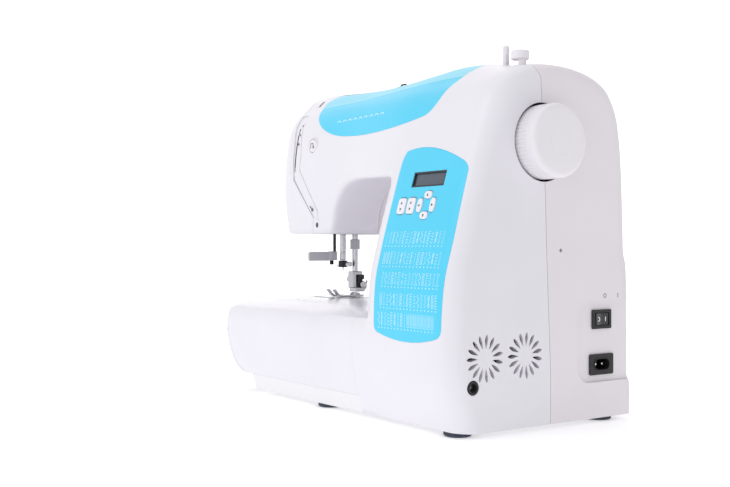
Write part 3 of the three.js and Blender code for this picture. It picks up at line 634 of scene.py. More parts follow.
WHITE_FRONT = plastic("white_gloss_plastic", srgb(235, 233, 239), 0.35, coat=0.2)
WHITE_CASE = plastic("white_satin_plastic", srgb(234, 229, 234), 0.42, grain=0.02, grain_scale=1100)
WHITE_BED = plastic("white_bed_plastic", srgb(236, 234, 240), 0.2, grain=0.006, ior=1.22)
# The base's white is a little lighter than the casing's: partly its own white plastic, partly painted light
# standing in for light bounced up from the floor.
WHITE_PAN_PAINTED_BOUNCE = plastic("white_base_plastic_painted_bounce", srgb(238, 238, 241), 0.4, grain=0.02, grain_scale=1100)
WHITE_KNOB = plastic("white_knob_plastic", srgb(238, 235, 240), 0.36, coat=0.1)
KEY_WHITE = plastic("key_plastic", srgb(240, 239, 244), 0.38, grain=0.02, grain_scale=1800)
BLUE = plastic("blue_panel_film", srgb(76, 211, 246), 0.35, coat=0.2, grain=0.008, drift=0.02)
PRINT = plastic("white_print", srgb(214, 244, 252), 0.5, grain=0.004, drift=0.05)
# A lighter copy of the band's blue for its strip over the top edge: painted light, the paler look of the
# upward-facing top painted into the colour.
BLUE_TOP_PAINTED_LIGHT = plastic("blue_top_painted_light", srgb(150, 226, 247), 0.42, grain=0.004, drift=0.04)
DARK_PRINT = plastic("dark_print", srgb(66, 66, 76), 0.5, grain=0.004, drift=0.05)
GREY_PLASTIC = plastic("grey_plastic", srgb(205, 204, 210), 0.45, grain=0.03, grain_scale=900)
BLACK_PLASTIC = plastic("black_plastic", srgb(30, 27, 29), 0.46, grain=0.04, grain_scale=900, drift=0.12)
BLACK_GLOSS = plastic("black_gloss_plastic", srgb(28, 28, 33), 0.2, coat=0.3, drift=0.1)
FOOT_RUBBER = rubber("foot_rubber", srgb(62, 70, 86))
BELT_RUBBER = rubber("belt_rubber", srgb(34, 34, 36), 0.8, 0.1)
CHROME = metal("plated_steel", srgb(214, 214, 218), 0.16, (1, 1, 0.08), 900, 0.003)
STEEL = metal("brushed_steel", srgb(190, 192, 196), 0.19, (0.06, 1, 1), 1200, 0.006)
TURNED = metal("turned_steel", srgb(178, 180, 184), 0.19, (1, 0.3, 0.3), 1500, 0.005)
CAST = metal("cast_frame_metal", srgb(132, 136, 142), 0.55, (1, 1, 1), 260, 0.09, 0.2)
DARK_METAL = metal("blackened_steel", srgb(70, 70, 76), 0.41, (1, 1, 0.3), 700, 0.01, 0.2)
DISPLAY = display_material()
CLEAR_COVER = clear("clear_cover_plastic", srgb(226, 232, 238), 0.1, 0.5)
CLEAR_BOBBIN = clear("clear_bobbin_plastic", srgb(230, 236, 240), 0.12, 0.6)
BOARD = board_material()


# ---------------------------------------------------------------- casing surface
FOOT_LINE = PAN_BOTTOM - 8  # the casing is shaped down to here, then cut off flat
# Front of the side profile: depth at the pillar, depth at the head, height.
FRONT_PROFILE = [
    (-80.5, -52, FOOT_LINE), (-84, -52, PAN_BOTTOM), (-92.5, -52, 34), (-96, -52, 60), (-95.5, -52, 108),
    (-89.5, -52, 140), (-70, -50.5, 206), (-57, -47.5, 243), (-47.5, -41, 267), (-33, -27.5, 282),
    (-10, -6, 289.5),
]
# Top and back of the side profile: depth, height.
BACK_PROFILE = [
    (23, 291), (52, 287), (73, 277.5), (84.8, 260), (90, 238), (92.8, 208), (95, 152), (95.4, 140),
    (98.6, 126), (REAR + 4, 80), (REAR + 4, 37), (REAR + 6.8, 31), (REAR + 6.8, FOOT_LINE),
]
ROUND_X = 14.0
CROWN_LIFT = 8.5  # how much higher the arm's crown is than the right end's
CROWN_DIP = 4.8
CROWN_DIP_X, CROWN_DIP_HALF = -20, 97  # its middle and half its length
LIFT_FROM, LIFT_TO = 280.0, 291
ROUND_FRONT = 13.0
ROUND_BACK = 5.5
ROUND_TOP = 8.0
ROUND_TOP_FROM, ROUND_TOP_RISE = 120, 170
ROUND_HEAD = 17.0
CROWN_Y = 10.0  # the casing's highest line
CROWN_FADE = 30  # the ends' rounding fades out this close to the highest line
BLEND_LEFT, BLEND_RIGHT = -70, 60  # between the head's front profile and the pillar's
PROFILE_SPACING = 2.4
BODY_VOXEL = 1.5
BODY_PASSES = 9


def clamp(t):
    return min(1.0, max(0.0, t))


def smoothstep(x, low, high):
    t = clamp((x - low) / (high - low))
    return t * t * (3 - 2 * t)


def quarter(t):
    k = clamp(t)
    return 1 - math.sqrt(1 - k * k)


def shoulder(t):
    """Part turn, part slant: a clear edge towards the front and a tangent one at the end."""
    k = clamp(t)
    return 0.42 * k + 0.58 * quarter(k)


def crown_dip(x):
    """How far the crown sags along the middle of the arm."""
    return CROWN_DIP * math.cos(math.pi / 2 * min(1.0, abs(x - CROWN_DIP_X) / CROWN_DIP_HALF))


def casing_ring(x, t):
    """The side profile at x, drawn in by t along its normals."""
    w = smoothstep(x, BLEND_LEFT, BLEND_RIGHT)
    front = [(head + (pillar - head) * w, z) for pillar, head, z in FRONT_PROFILE]
    pillar_side = [*((pillar, z) for pillar, _, z in FRONT_PROFILE), *BACK_PROFILE]
    curve = catmull([*front, *BACK_PROFILE], PROFILE_SPACING, pillar_side)
    right = (x - (END - ROUND_X)) / ROUND_X
    left = (ARM_LEFT + ROUND_HEAD - x) / ROUND_HEAD
    raised = CROWN_LIFT * (1 - smoothstep(x, 85, END)) - crown_dip(x)
    ring = []
    for i, (y, z) in enumerate(curve):
        before, after = curve[max(i - 1, 0)], curve[min(i + 1, len(curve) - 1)]
        normal = Vector((after[1] - before[1], before[0] - after[0])).normalized()
        high = max(0.0, (z - ROUND_TOP_FROM) / ROUND_TOP_RISE)
        in_front = y < CROWN_Y
        side = ROUND_FRONT * shoulder(right) + ROUND_HEAD * quarter(left) if in_front else 0
        behind = 0 if in_front else ROUND_BACK * quarter(right) + ROUND_HEAD * quarter(left)
        fade = min(1.0, abs(y - CROWN_Y) / CROWN_FADE)
        ring.append(
            (
                min(max(x, ARM_LEFT + t), END - t), y + (side - behind) * fade + normal.x * t,
                max(
                    FOOT_LINE + t,
                    z + raised * smoothstep(z, LIFT_FROM, LIFT_TO)
                    - ROUND_TOP * high * quarter(1.6 * right - 0.6) + normal.y * t
                ),
            )
        )
    return ring


def stations(fine):
    """Places along X, close together where the ends round off."""
    turns = 14 if fine else 4
    ends = [math.sin(math.pi / 2 * i / turns) for i in range(turns + 1)]
    left = [ARM_LEFT + ROUND_HEAD * (1 - s) for s in reversed(ends)]
    right = [END - ROUND_X + ROUND_X * s for s in ends]
    count = 40 if fine else 10
    span = right[0] - left[-1]
    return [*left, *(left[-1] + span * i / count for i in range(1, count)), *right]


def casing(t, fine=True):
    return loft([casing_ring(x, t) for x in stations(fine)])


def front_outline(t):
    """Front view of the pillar, arm and head, drawn in by t."""
    left = ARM_LEFT + t
    path = Path(HARP_RIGHT + t, FOOT_LINE - 1 + t)
    path.line(END + 2, FOOT_LINE - 1 + t).line(END + 2, 312).line(-118, 312).line(-118, 301.5 - t)
    path.cubic((-146, 301.5 - t), (left - 1, 297), (left, 262)).line(left + 1, 218)
    path.line(-141 + t, HEAD_BOTTOM + 8).quad(-141.5 + t, HEAD_BOTTOM + t, -134, HEAD_BOTTOM + t)
    path.line(-61 - t, HEAD_BOTTOM + t).quad(-56 - t, HEAD_BOTTOM + t, -55.5 - t, HEAD_BOTTOM + 7)
    path.cubic((-53 - t, 188 + t), (-38, HARP_TOP + t), (-6, HARP_TOP + 0.6 + t), 32)
    path.line(HARP_RIGHT - 8, HARP_TOP - 0.8 + t)
    path.quad(HARP_RIGHT + t, HARP_TOP - 1 + t, HARP_RIGHT + t, HARP_TOP - 9)
    return path.points


BED_FRONT = [(-84, PAN_BOTTOM), (-88.6, 19), (-92.5, 34), (-96, 60), (-95.8, 79)]
BED_EDGE = [(-95.8, 79), (-95.2, 82.4), (-93, 84.7), (-90, 85.6)]
BED_CROWN = [(-90, 85.6), (-70, 89.8), (-45, 92.6), (-15, 94), (40, 93.8), (80, 92.6), (92, 91.4)]
BED_BACK = [(92, 91.4), (95.2, 90.2), (REAR, 87.5), (REAR, PAN_BOTTOM)]


def bed(x0, x1):
    """The bed's side profile, run from x0 to x1."""
    profile = [
        *catmull(BED_FRONT, 3)[:-1], *catmull(BED_EDGE, 1)[:-1], *catmull(BED_CROWN, 4)[:-1], *BED_BACK
    ]
    return prism("X", profile, x0, x1)


def through(outline):
    """An outline in front view, run through the whole machine."""
    return prism("Y", outline, -FAR, FAR)


def table_end():
    """Front view of the table's round left end."""
    path = Path(TABLE_RIGHT + 20, PAN_TOP - 6)
    path.line(TABLE_RIGHT + 20, BED_TOP + 4).line(TABLE_LEFT + 6, BED_TOP + 4)
    path.quad(TABLE_LEFT + 4, 80, TABLE_LEFT + 0.6, 62)
    path.cubic((TABLE_LEFT, 40), (TABLE_LEFT + 9.5, 22), (TABLE_LEFT + 26.5, PAN_TOP + FINE_GAP))
    path.line(TABLE_LEFT + 36, PAN_TOP - 6)
    return path.points


def body_skin():
    """The whole upper casing as one solid with every edge rounded."""
    upper = keep(casing(0), through(front_outline(0)))
    upper = join(
        upper, keep(bed(TABLE_RIGHT - 12, HARP_RIGHT + 6), block(-200, 200, -FAR, FAR, PAN_BOTTOM, 110))
    )
    head = (lambda co: clamp((-128 - co.x) / 14) if co.z > 150 else 0.0, 26)
    return melt(upper, BODY_VOXEL, BODY_PASSES, head)


def bed_skin():
    """The whole bed left of the pillar as one solid with every edge rounded."""
    whole = keep(bed(TABLE_LEFT - 2, TABLE_RIGHT + 18), through(table_end()))
    end = (lambda co: clamp((TABLE_LEFT + 16 - co.x) / 12), 50)
    return cut(melt(whole, BODY_VOXEL, 4, end), block(-300, 300, -130, 130, -20, PAN_TOP + FINE_GAP))


UNCUT = body_skin()
SKIN_SHADE = skin_shading(UNCUT)
SKIN = cut(UNCUT, block(-300, 300, -130, 130, -20, PAN_BOTTOM))
BED = bed_skin()
BED_SHADE = skin_shading(BED)


# ---------------------------------------------------------------- outlines on the casing
PANEL_LEFT, PANEL_RIGHT, PANEL_LOW, PANEL_HIGH = 72.0, 160.0, 71.0, 224.0
LCD = centre("display_window")
LCD_W, LCD_H = 41.0, 12.0
SELECT_W, SELECT_H = 10.2, 13.6
SELECT_KEYS = ("length_button", "width_button")
ARROW_KEYS = ("key_left", "key_up", "key_right", "key_down")


def panel_outline(grow):
    x0, x1, z0, z1 = PANEL_LEFT, PANEL_RIGHT, PANEL_LOW, PANEL_HIGH
    path = Path(x0 - grow, z0 + 12)
    path.quad(x0 - grow, z0 + 5 - grow, x0 + 8, z0 + 4 - grow)
    path.quad((x0 + x1) / 2, z0 - 5 - grow, x1 - 8, z0 + 4 - grow, 20)
    path.quad(x1 - 2 + grow, z0 + 6 - grow, x1 - 2 + grow, z0 + 12)
    path.line(x1 + grow, 150).line(x1 - 1 + grow, z1 - 20)
    path.quad(x1 - 2 + grow, z1 - 15 + grow, x1 - 9, z1 - 12 + grow)
    path.quad(x0 + 35, z1 + 7 + grow, x0 + 4, z1 + grow, 20)
    path.quad(x0 - grow, z1 - 3 + grow, x0 - grow, z1 - 14)
    return path.points


def trim_outline(grow):
    """The arm's coloured band in front view; its top runs over the edge."""
    path = Path(-110 - grow, 284)
    path.cubic((-104 - grow, 271 - grow), (-90, 250.6 - grow), (-37, 247.2 - grow))
    path.cubic((10, 243.5 - grow), (50, 247 - grow), (84, 253.6 - grow))
    path.quad(95 + grow, 257 - grow, 99 + grow, 270)
    path.quad(102 + grow, 281, 112 + grow, 291)
    path.line(118 + grow, 312).line(-100 - grow, 312).line(-104 - grow, 292)
    path.quad(-111 - grow, 290.5, -110 - grow, 284)
    return path.points


def select_outline(key, grow):
    c = centre(key)
    w, h = SELECT_W / 2 + grow, SELECT_H / 2 + grow
    return rounded(c.x - w, c.x + w, 177.8 - h, 177.8 + h, 2.6 + grow)


def arrow_outline(key, grow):
    """A lens-shaped key with two bowed sides."""
    low, high = corners(key)
    cx, cz = (low.x + high.x) / 2, 177.8 + {"key_up": 8.2, "key_down": -8.2}.get(key, 0)
    upright = key in ("key_left", "key_right")
    w, h = ((3.3, 6.0) if upright else (4.8, 3.3))
    w, h = w + grow, h + grow
    return [(cx + w * math.copysign(abs(math.cos(a)) ** 0.8, math.cos(a)),
             cz + h * math.copysign(abs(math.sin(a)) ** 0.8, math.sin(a)))
            for a in (math.tau * i / 36 for i in range(36))]


def key_outlines(grow):
    return [*(select_outline(k, grow) for k in SELECT_KEYS), *(arrow_outline(k, grow) for k in ARROW_KEYS)]


def lcd_outline(grow):
    w, h = LCD_W / 2 + grow, LCD_H / 2 + grow
    return [(LCD.x - w, 199 - h), (LCD.x + w, 199 - h), (LCD.x + w, 199 + h), (LCD.x - w, 199 + h)]


def sunk(outline, depth, y1=-20, slant=0.0):
    """A cutter for a recess of even depth: the outline, less the skin pushed in."""
    return cut(prism("Y", outline, -112, y1), copy(SKIN, (0, depth, -slant * depth)))


# The front cover and the rear cover meet along this line, seen from the right.
SEAM = [
    (-14, 312), (-9.6, 286), (-5.7, 279), (-4.2, 259), (-1.5, 210), (0.2, 170), (0.8, 150), (2.4, 111),
    (5.3, 46), (5.3, 0)
]
SEAM_LINE = catmull(SEAM, 8)


def seam_half(front):
    shift = (-SEAM_GAP if front else SEAM_GAP) / 2
    far = -120 if front else 120
    return prism("X", [*((y + shift, z) for y, z in SEAM_LINE), (far, 0), (far, 312)], -175, END + 4)


# The face cover's edge, in front view: the left side of the thread channel.
FACE_EDGE = [
    (-92, 120), (-92, 172), (-94.3, 174.5), (-131, 211), (-133.4, 231.6), (-133.6, 245), (-137.5, 262),
    (-137.5, 312)
]


def face_half(gap):
    return prism("Y", [(-200, 120), *((x - gap, z) for x, z in FACE_EDGE), (-200, 312)], -112, 112)


CHANNEL = [
    (-91.5, 172), (-94.0, 174.3), (-130.7, 211), (-133.1, 231.6), (-133.3, 245), (-137, 262), (-137, 276),
    (-126.5, 276), (-125.5, 262.5), (-120, 234.7), (-121.3, 220.8), (-85.6, 179), (-83.2, 172)
]


CHANNEL_LINES = [
    [
        (-124, 268), (-124.6, 262.5), (-121.6, 248), (-119, 234.7), (-120.2, 220.8), (-111, 210),
        (-84.6, 179), (-82.5, 170)
    ],
    [(-132.8, 231.6), (-130.6, 211.4), (-94.3, 173.9), (-92, 171)],
]


def stroke(points, width):
    """The outline of an open line of even width."""
    left, right = [], []
    for i, (x, z) in enumerate(points):
        before, after = points[max(i - 1, 0)], points[min(i + 1, len(points) - 1)]
        d = Vector((after[0] - before[0], after[1] - before[1])).normalized()
        n = Vector((-d.y, d.x)) * width / 2
        left.append((x + n.x, z + n.y))
        right.append((x - n.x, z - n.y))
    return left + right[::-1]


# ---------------------------------------------------------------- the covers
MOUTH = rounded(-126, -62, -34, 30, 7)  # opening under the head, in plan
TAKE_UP_SLOT = rounded(-131.55, -129.65, 219, 263, 0.9)
DIAL_R, DIAL_HALF = 10.8, 1.6  # the dial's rim is narrower than the space kept for it
BUTTON = centre("reverse_button")
WINDER, STOP, DIAL = centre("winder_spindle"), centre("winder_stop"), centre("tension_dial")
JACK, SWITCH, INLET = centre("pedal_jack"), centre("power_switch_housing"), centre("power_inlet")
SWITCH_W, SWITCH_H, INLET_W, INLET_H = 22.6, 15.8, 28.0, 17.2
RECESS = rounded(36, 124, 33.5, 99, 13, 12)
RECESS_DEPTH = 3.0
VENT_CENTRES = [(-63.5, 60.2), (-22.0, 60.2)]
VENT_SLOTS, VENT_IN, VENT_OUT, VENT_WIDTH = 15, 7.4, 18.4, 3.1
TRAY = (-18, 112, 14, 58)
TRAY_FLOOR = 262
POCKET = (-90.5, -36, 72, 101)
POCKET_TOP = 196
PRINT_DEPTH = 0.12  # clearance round the film panels


def hollow():
    floor = PAN_BOTTOM + 1.6
    side = [(-70, floor), (-94, 48), (-110, 60), (-110, 312), (110, 312), (110, 60), (94, 40), (84, floor)]
    inner = keep(casing(WALL, False), through(front_outline(WALL)), prism("X", side, -200, END - 7))
    upper = keep(casing(WALL, False), through(front_outline(WALL)), block(-200, 200, -FAR, FAR, 70, 310))
    foot_room = prism(
        "X", [(-70, floor), (-84, 32), (-84, 82), (88, 82), (88, 32), (78, floor)], TABLE_RIGHT - 14,
        HARP_RIGHT + 8
    )
    return join(
        inner, upper, foot_room, block(TABLE_RIGHT - 20, END - 10, -72, 84, PAN_BOTTOM - 5, PAN_BOTTOM + 6)
    )


def vents():
    petals = []
    for cy, cz in VENT_CENTRES:
        for i in range(VENT_SLOTS):
            middle = VENT_IN + 0.62 * (VENT_OUT - VENT_IN)
            petal = Path(VENT_IN, 0).quad(middle * 0.86, -VENT_WIDTH * 0.5, middle, -VENT_WIDTH / 2, 4)
            petal.quad(VENT_OUT * 0.95, -VENT_WIDTH * 0.42, VENT_OUT, 0, 5)
            petal.quad(VENT_OUT * 0.95, VENT_WIDTH * 0.42, middle, VENT_WIDTH / 2, 5)
            petal.quad(middle * 0.86, VENT_WIDTH * 0.5, VENT_IN, 0, 4)
            turn = math.tau * (i + 0.5) / VENT_SLOTS
            c, s = math.cos(turn), math.sin(turn)
            petals.append(prism("X", [(cy + a * c - b * s, cz + a * s + b * c) for a, b in petal.points[:-1]],
                                END - 8, END + 4))
    return merge(*petals)


def top_holes():
    """Openings in the top for the tension dial, the winder and its stop."""
    return merge(
        rod("X", DIAL.y, DIAL.z, DIAL.x - DIAL_HALF - 0.4, DIAL.x + DIAL_HALF + 0.4, DIAL_R + 0.5),
        prism("Z", rounded(WINDER.x - 3.2, WINDER.x + 10, -8.2, -1.8, 3.1), 270, 312),
        rod("Z", STOP.x + 1.3, STOP.y, 270, 300, 3.6),
    )


def wheel_hole():
    return rod("X", WHEEL.y, WHEEL.z, END - 12, END + 4, 31.3, sides=128)


def table_side():
    """What the extension table and the free arm take up."""
    return block(TABLE_RIGHT - 20, TABLE_RIGHT + FINE_GAP, -112, 112, 0, 130)


def front_cover():
    cover = cut(copy(SKIN), hollow(), table_side())
    cover = cut(keep(cover, seam_half(True)), face_half(-0.25))
    openings = [prism("Y", shape, -112, -55) for shape in key_outlines(0.35)]
    cover = cut(
        cover,
        sunk(CHANNEL, 1.0),
        *[sunk(stroke(line, 0.75), 1.9) for line in CHANNEL_LINES],
        sunk(panel_outline(PRINT_DEPTH), 1.3),
        sunk(trim_outline(PRINT_DEPTH), 1.0, -5 + PRINT_DEPTH, 1.0),
        merge(*openings),
        prism("Y", lcd_outline(0), -112, -55),
        wheel_hole(),
        prism("Z", MOUTH, HEAD_BOTTOM - 4, HEAD_BOTTOM + 6),
        prism("Y", TAKE_UP_SLOT, -70, -20),
        vents(),
        rod("X", JACK.y, JACK.z, END - 6, END + 3, 5.7),
        rod("Y", BUTTON.x, BUTTON.z, -60, -30, 7.0, sides=64),
        top_holes(),
    )
    return finish(cover, "front_cover_shell", WHITE_FRONT, "white_gloss", "front_cover", skin=SKIN_SHADE)


def rear_cover():
    x0, x1, y0, y1 = TRAY
    px0, px1, py0, py1 = POCKET
    inside = cut(
        hollow(),
        prism("X", rounded(36 - WALL, 130, 33.5 - WALL, 99 + WALL, 13), END - RECESS_DEPTH - WALL, END + 3),
        block(x0 - WALL, x1 + WALL, y0 - WALL, y1 + WALL, TRAY_FLOOR - WALL, 312),
        block(px0 - WALL, px1 + WALL, py0 - WALL, py1, HEAD_BOTTOM - 6, POCKET_TOP + WALL),
    )
    cover = cut(copy(SKIN), inside, table_side())
    cover = cut(keep(cover, seam_half(False)), face_half(-0.25))
    cover = cut(
        cover,
        prism("X", RECESS, END - RECESS_DEPTH, END + 6),
        prism("Z", rounded(x0, x1, y0, y1, 6), TRAY_FLOOR, 312),
        prism("Y", [*rounded(px0, px1, 140, POCKET_TOP, 8)], py0, py1),
        wheel_hole(),
        prism("Z", MOUTH, HEAD_BOTTOM - 4, HEAD_BOTTOM + 6),
        prism("X", end_opening(SWITCH, SWITCH_W - 3, SWITCH_H - 3), END - 14, END + 2),
        prism("X", end_opening(INLET, INLET_W - 3, INLET_H - 3), END - 14, END + 2),
        rod("X", 17, 142, END - 6, END + 2, 1.6),
        top_holes(),
    )
    return finish(cover, "rear_cover_shell", WHITE_CASE, "white_case", "rear_cover", skin=SKIN_SHADE)


def end_opening(c, w, h):
    """A plain rectangle about a centre, seen from the right."""
    return [
        (c.y - w / 2, c.z - h / 2), (c.y + w / 2, c.z - h / 2), (c.y + w / 2, c.z + h / 2),
        (c.y - w / 2, c.z + h / 2)
    ]


def face_cover():
    cover = keep(cut(copy(SKIN), hollow()), face_half(0.25))
    lips = keep(casing(1.2, False), prism("Y", rounded(-134.6, -126.9, 215, 267, 3.4), -70, -20))
    cover = join(cover, cut(lips, casing(9, False)))
    cover = cut(
        cover,
        prism("Z", MOUTH, HEAD_BOTTOM - 4, HEAD_BOTTOM + 6),
        prism("Y", TAKE_UP_SLOT, -70, -20),
        sunk(CHANNEL, 1.0),
    )
    return finish(cover, "face_cover_shell", WHITE_FRONT, "white_gloss", "face_cover", skin=SKIN_SHADE)


def arm_trim():
    """The coloured band, with a paler strip where it turns over the top edge: painted light, the same band
    given a lighter blue there.
    """
    band = cut(keep(copy(SKIN), prism("Y", trim_outline(0), -112, -5)), copy(SKIN, (0, 0.9, -0.9)))
    # The strip over the top edge is painted light: a lighter blue standing in for the top catching more
    # light.
    pale = keep(copy(band), prism("X", [(-40, 316), (-28.5, 281.5), (0, 294.4), (0, 316)], -120, 125))
    band = cut(band, prism("X", [(-40, 316), (-28.5, 281.5), (0, 294.4), (0, 316)], -120, 125))
    finish(pale, "arm_trim_top", BLUE_TOP_PAINTED_LIGHT, "blue_trim", body="frame_unit", skin=SKIN_SHADE)
    return finish(band, "arm_trim_band", BLUE, "blue_trim", "arm_trim", skin=SKIN_SHADE)


def control_panel():
    panel = cut(keep(copy(SKIN), prism("Y", panel_outline(0), -112, -40)), copy(SKIN, (0, 1.1, 0)))
    openings = [prism("Y", shape, -112, -55) for shape in key_outlines(0.35)]
    panel = cut(panel, merge(*openings), prism("Y", lcd_outline(0.2), -112, -55))
    return finish(panel, "control_panel_film", BLUE, "blue_trim", "control_panel", skin=SKIN_SHADE)


def display_window():
    glass = cut(
        keep(copy(SKIN, (0, 1.7, 0)), prism("Y", lcd_outline(-0.2), -112, -40)), copy(SKIN, (0, 2.6, 0))
    )
    # A thin black ring lines the inside of the window's opening, all round.
    ring = cut(prism("Y", lcd_outline(-0.1), -112, -40), prism("Y", lcd_outline(-1.1), -113, -39))
    ring = cut(keep(ring, copy(SKIN, (0, 0.35, 0))), copy(SKIN, (0, 1.6, 0)))
    finish(ring, "display_dark_ring", BLACK_GLOSS, "black_gloss", body="frame_unit")
    return finish(glass, "display_glass", DISPLAY, "display", "display_window")


for build in (front_cover, rear_cover, face_cover, arm_trim, control_panel, display_window):
    build()


# ---------------------------------------------------------------- bed, table and base
HINGE_LID = (-150, 10, 30, 80)
PLATE = corners("needle_plate")
COVER_X, COVER_HALF = HOOK.x, 22.0


def cover_plan(grow):
    """Plan of the bobbin cover, with its round front edge."""
    half = COVER_HALF + grow
    path = Path(COVER_X - half, -22.6).line(COVER_X - half, -40)
    path.quad(
        COVER_X - half, -52.5 - grow, COVER_X, -52.8 - grow
    ).quad(COVER_X + half, -52.5 - grow, COVER_X + half, -40)
    return path.line(COVER_X + half, -22.6).points


def extension_table():
    x0, x1, z0, z1 = HINGE_LID
    low, high = ARM_FREE_LOW, ARM_FREE_HIGH
    table = cut(
        copy(BED),
        block(TABLE_RIGHT, TABLE_RIGHT + 30, -112, 112, 0, 130),
        prism("Z", rounded(low.x - 0.4, TABLE_RIGHT + 60, low.y - 0.4, high.y + 0.4, 5), 0, 120),
        block(-176, TABLE_RIGHT - 3, -86, -60, 0, 81),
        block(-176, -164, -54, 88, 0, 83),
        block(x0 + 4, TABLE_RIGHT - 3, 29.5, REAR - 5, 22, 85),
        prism("Y", rounded(x0 - GAP, x1 + GAP, z0 - GAP, z1 + GAP, 3), REAR - 2.7, REAR + 3),
        prism("Y", rounded(x0 + 4, x1 - 4, z0 + 4, z1 - 4, 3), 40, REAR + 3),
    )
    return finish(table, "extension_table_shell", WHITE_BED, "bed_gloss", "extension_table", skin=BED_SHADE)


def accessory_lid():
    x0, x1, z0, z1 = HINGE_LID
    lid = cut(
        prism("Y", rounded(x0, x1, z0, z1, 3), REAR - 2.3, REAR),
        prism("Y", rounded(-82, -58, z1 - 9, z1 - 3, 2.8), REAR - 1.3, REAR + 2)
    )
    ribs = [
        prism(
            "Y", rounded(x0 + 12 + 34 * i, x0 + 14 + 34 * i, z0 + 6, z1 - 12, 0.9), REAR - 0.5, REAR + 0.2
        )
        for i in range(5)
    ]
    return finish(
        bevel(cut(lid, merge(*ribs)), 0.3, 2), "accessory_box_lid", WHITE_CASE, "white_case",
        "accessory_lid"
    )


def free_arm_cover():
    low, high = ARM_FREE_LOW, ARM_FREE_HIGH
    arm = keep(
        copy(BED), prism("Z", rounded(low.x, TABLE_RIGHT + 40, low.y, high.y, 4.6), PAN_TOP + GAP, 120)
    )
    arm = cut(
        arm, block(TABLE_RIGHT, TABLE_RIGHT + 50, -112, 112, 0, 130),
        block(low.x + WALL, TABLE_RIGHT - WALL, low.y + WALL, high.y - WALL, 0, BED_TOP - 5.2),
        block(TABLE_RIGHT - 6, TABLE_RIGHT + 1, low.y + 8, high.y - 4, 0, 75),
        prism(
            "Z", rounded(PLATE[0].x - GAP, PLATE[1].x + GAP, PLATE[0].y - 0.3, PLATE[1].y + GAP, 2.3),
            BED_TOP - 3, 120
        ),
        prism("Z", rounded(-136, -80, -19, 18, 2), 70, 120),
        prism("Z", cover_plan(GAP), BED_TOP - 4.5, 120), prism("Z", cover_plan(-2), 70, 120),
    )
    return finish(arm, "free_arm_shell", WHITE_BED, "bed_gloss", "free_arm_cover", skin=BED_SHADE)


def needle_plate():
    low, high = PLATE
    plate = bevel(prism("Z", rounded(low.x, high.x, low.y, high.y, 2.2), low.z, high.z), 0.35, 3)
    slots = [prism("Z", rounded(x - 1.9, x + 1.9, -16.5, 13.5, 1.2), 80, 100) for x in (-114, -101.5)]
    slots.append(prism("Z", rounded(NEEDLE.x - 3.6, NEEDLE.x + 3.6, -7.1, -4.9, 1.0), 80, 100))
    guides = [
        prism("Z", rounded(x - 0.22, x + 0.22, low.y + 3, high.y - 3, 0.2, 3), high.z - 0.25, 100)
        for x in (-95, -90, -85, -80)
    ]
    heads = [rod("Z", x, y, high.z - 0.7, 100, 2.6) for x, y in ((-133, 14), (-85, 16))]
    plate = cut(plate, merge(*slots), merge(*guides), merge(*heads))
    screws = []
    for x, y in ((-133, 14), (-85, 16)):
        head = bevel(rod("Z", x, y, high.z - 0.8, high.z - 0.05, 2.4), 0.2, 2)
        screws.append(cut(head, block(x - 2.6, x + 2.6, y - 0.35, y + 0.35, high.z - 0.45, 100)))
    finish(merge(*screws), "needle_plate_screws", CHROME, "plated_steel", body="frame_unit")
    return finish(plate, "needle_plate_steel", STEEL, "steel", "needle_plate")


def feed_dog():
    """Two toothed rows on a bridge."""
    low, high = corners("feed_dog")
    rows = []
    for x in (-114, -101.5):
        outline = [(low.y, low.z), (high.y, low.z), (high.y, high.z - 1)]
        for i in range(14):
            y = high.y - (high.y - low.y) * i / 14
            outline += [(y - 0.2, high.z), (y - 1.35, high.z - 0.75)]
        rows.append(prism("X", outline, x - 1.3, x + 1.3))
    bridge = bevel(block(-115.3, -100.2, 4, 10, low.z - 4, low.z + 1), 0.3, 2)
    return finish(join(rows[0], rows[1], bridge), "feed_dog_teeth", STEEL, "steel", "feed_dog")


def bobbin_cover():
    cover = keep(copy(BED), prism("Z", cover_plan(0), BED_TOP - 4.2, BED_TOP + 3))
    notch = prism("Z", circle(COVER_X + 15, -30, 3.4), BED_TOP - 1.6, BED_TOP + 3)
    mark = prism(
        "Z", [(COVER_X - 16, -33), (COVER_X - 13.4, -33), (COVER_X - 14.7, -36.5)], BED_TOP - 1.0,
        BED_TOP + 3
    )
    return finish(
        cut(cover, notch, mark), "bobbin_cover_plate", CLEAR_COVER, "clear_cover", "bobbin_cover",
        skin=BED_SHADE
    )


def base_pan():
    left = keep(bed(PAN_LEFT, TABLE_RIGHT), block(-300, 300, -112, 112, PAN_BOTTOM, PAN_TOP))
    right = block(TABLE_RIGHT - 1, END - 10 - GAP, -72 + GAP, 84 - GAP, PAN_BOTTOM + 0.2, PAN_TOP - 1)
    pan = cut(
        join(bevel(left, 0.25, 2), right),
        block(PAN_LEFT + 3, END - 13, -69, 81, PAN_BOTTOM + 3, PAN_TOP + 4)
    )
    slots = [
        prism("Z", rounded(-110 + 9 * i, -106 + 9 * i, -30, 10, 1.9), PAN_BOTTOM - 2, PAN_BOTTOM + 6)
        for i in range(12)
    ]
    # The tray's lighter white includes painted bounce light from the floor.
    return finish(cut(pan, merge(*slots)), "base_pan_tray", WHITE_PAN_PAINTED_BOUNCE, "white_case", "base_pan")


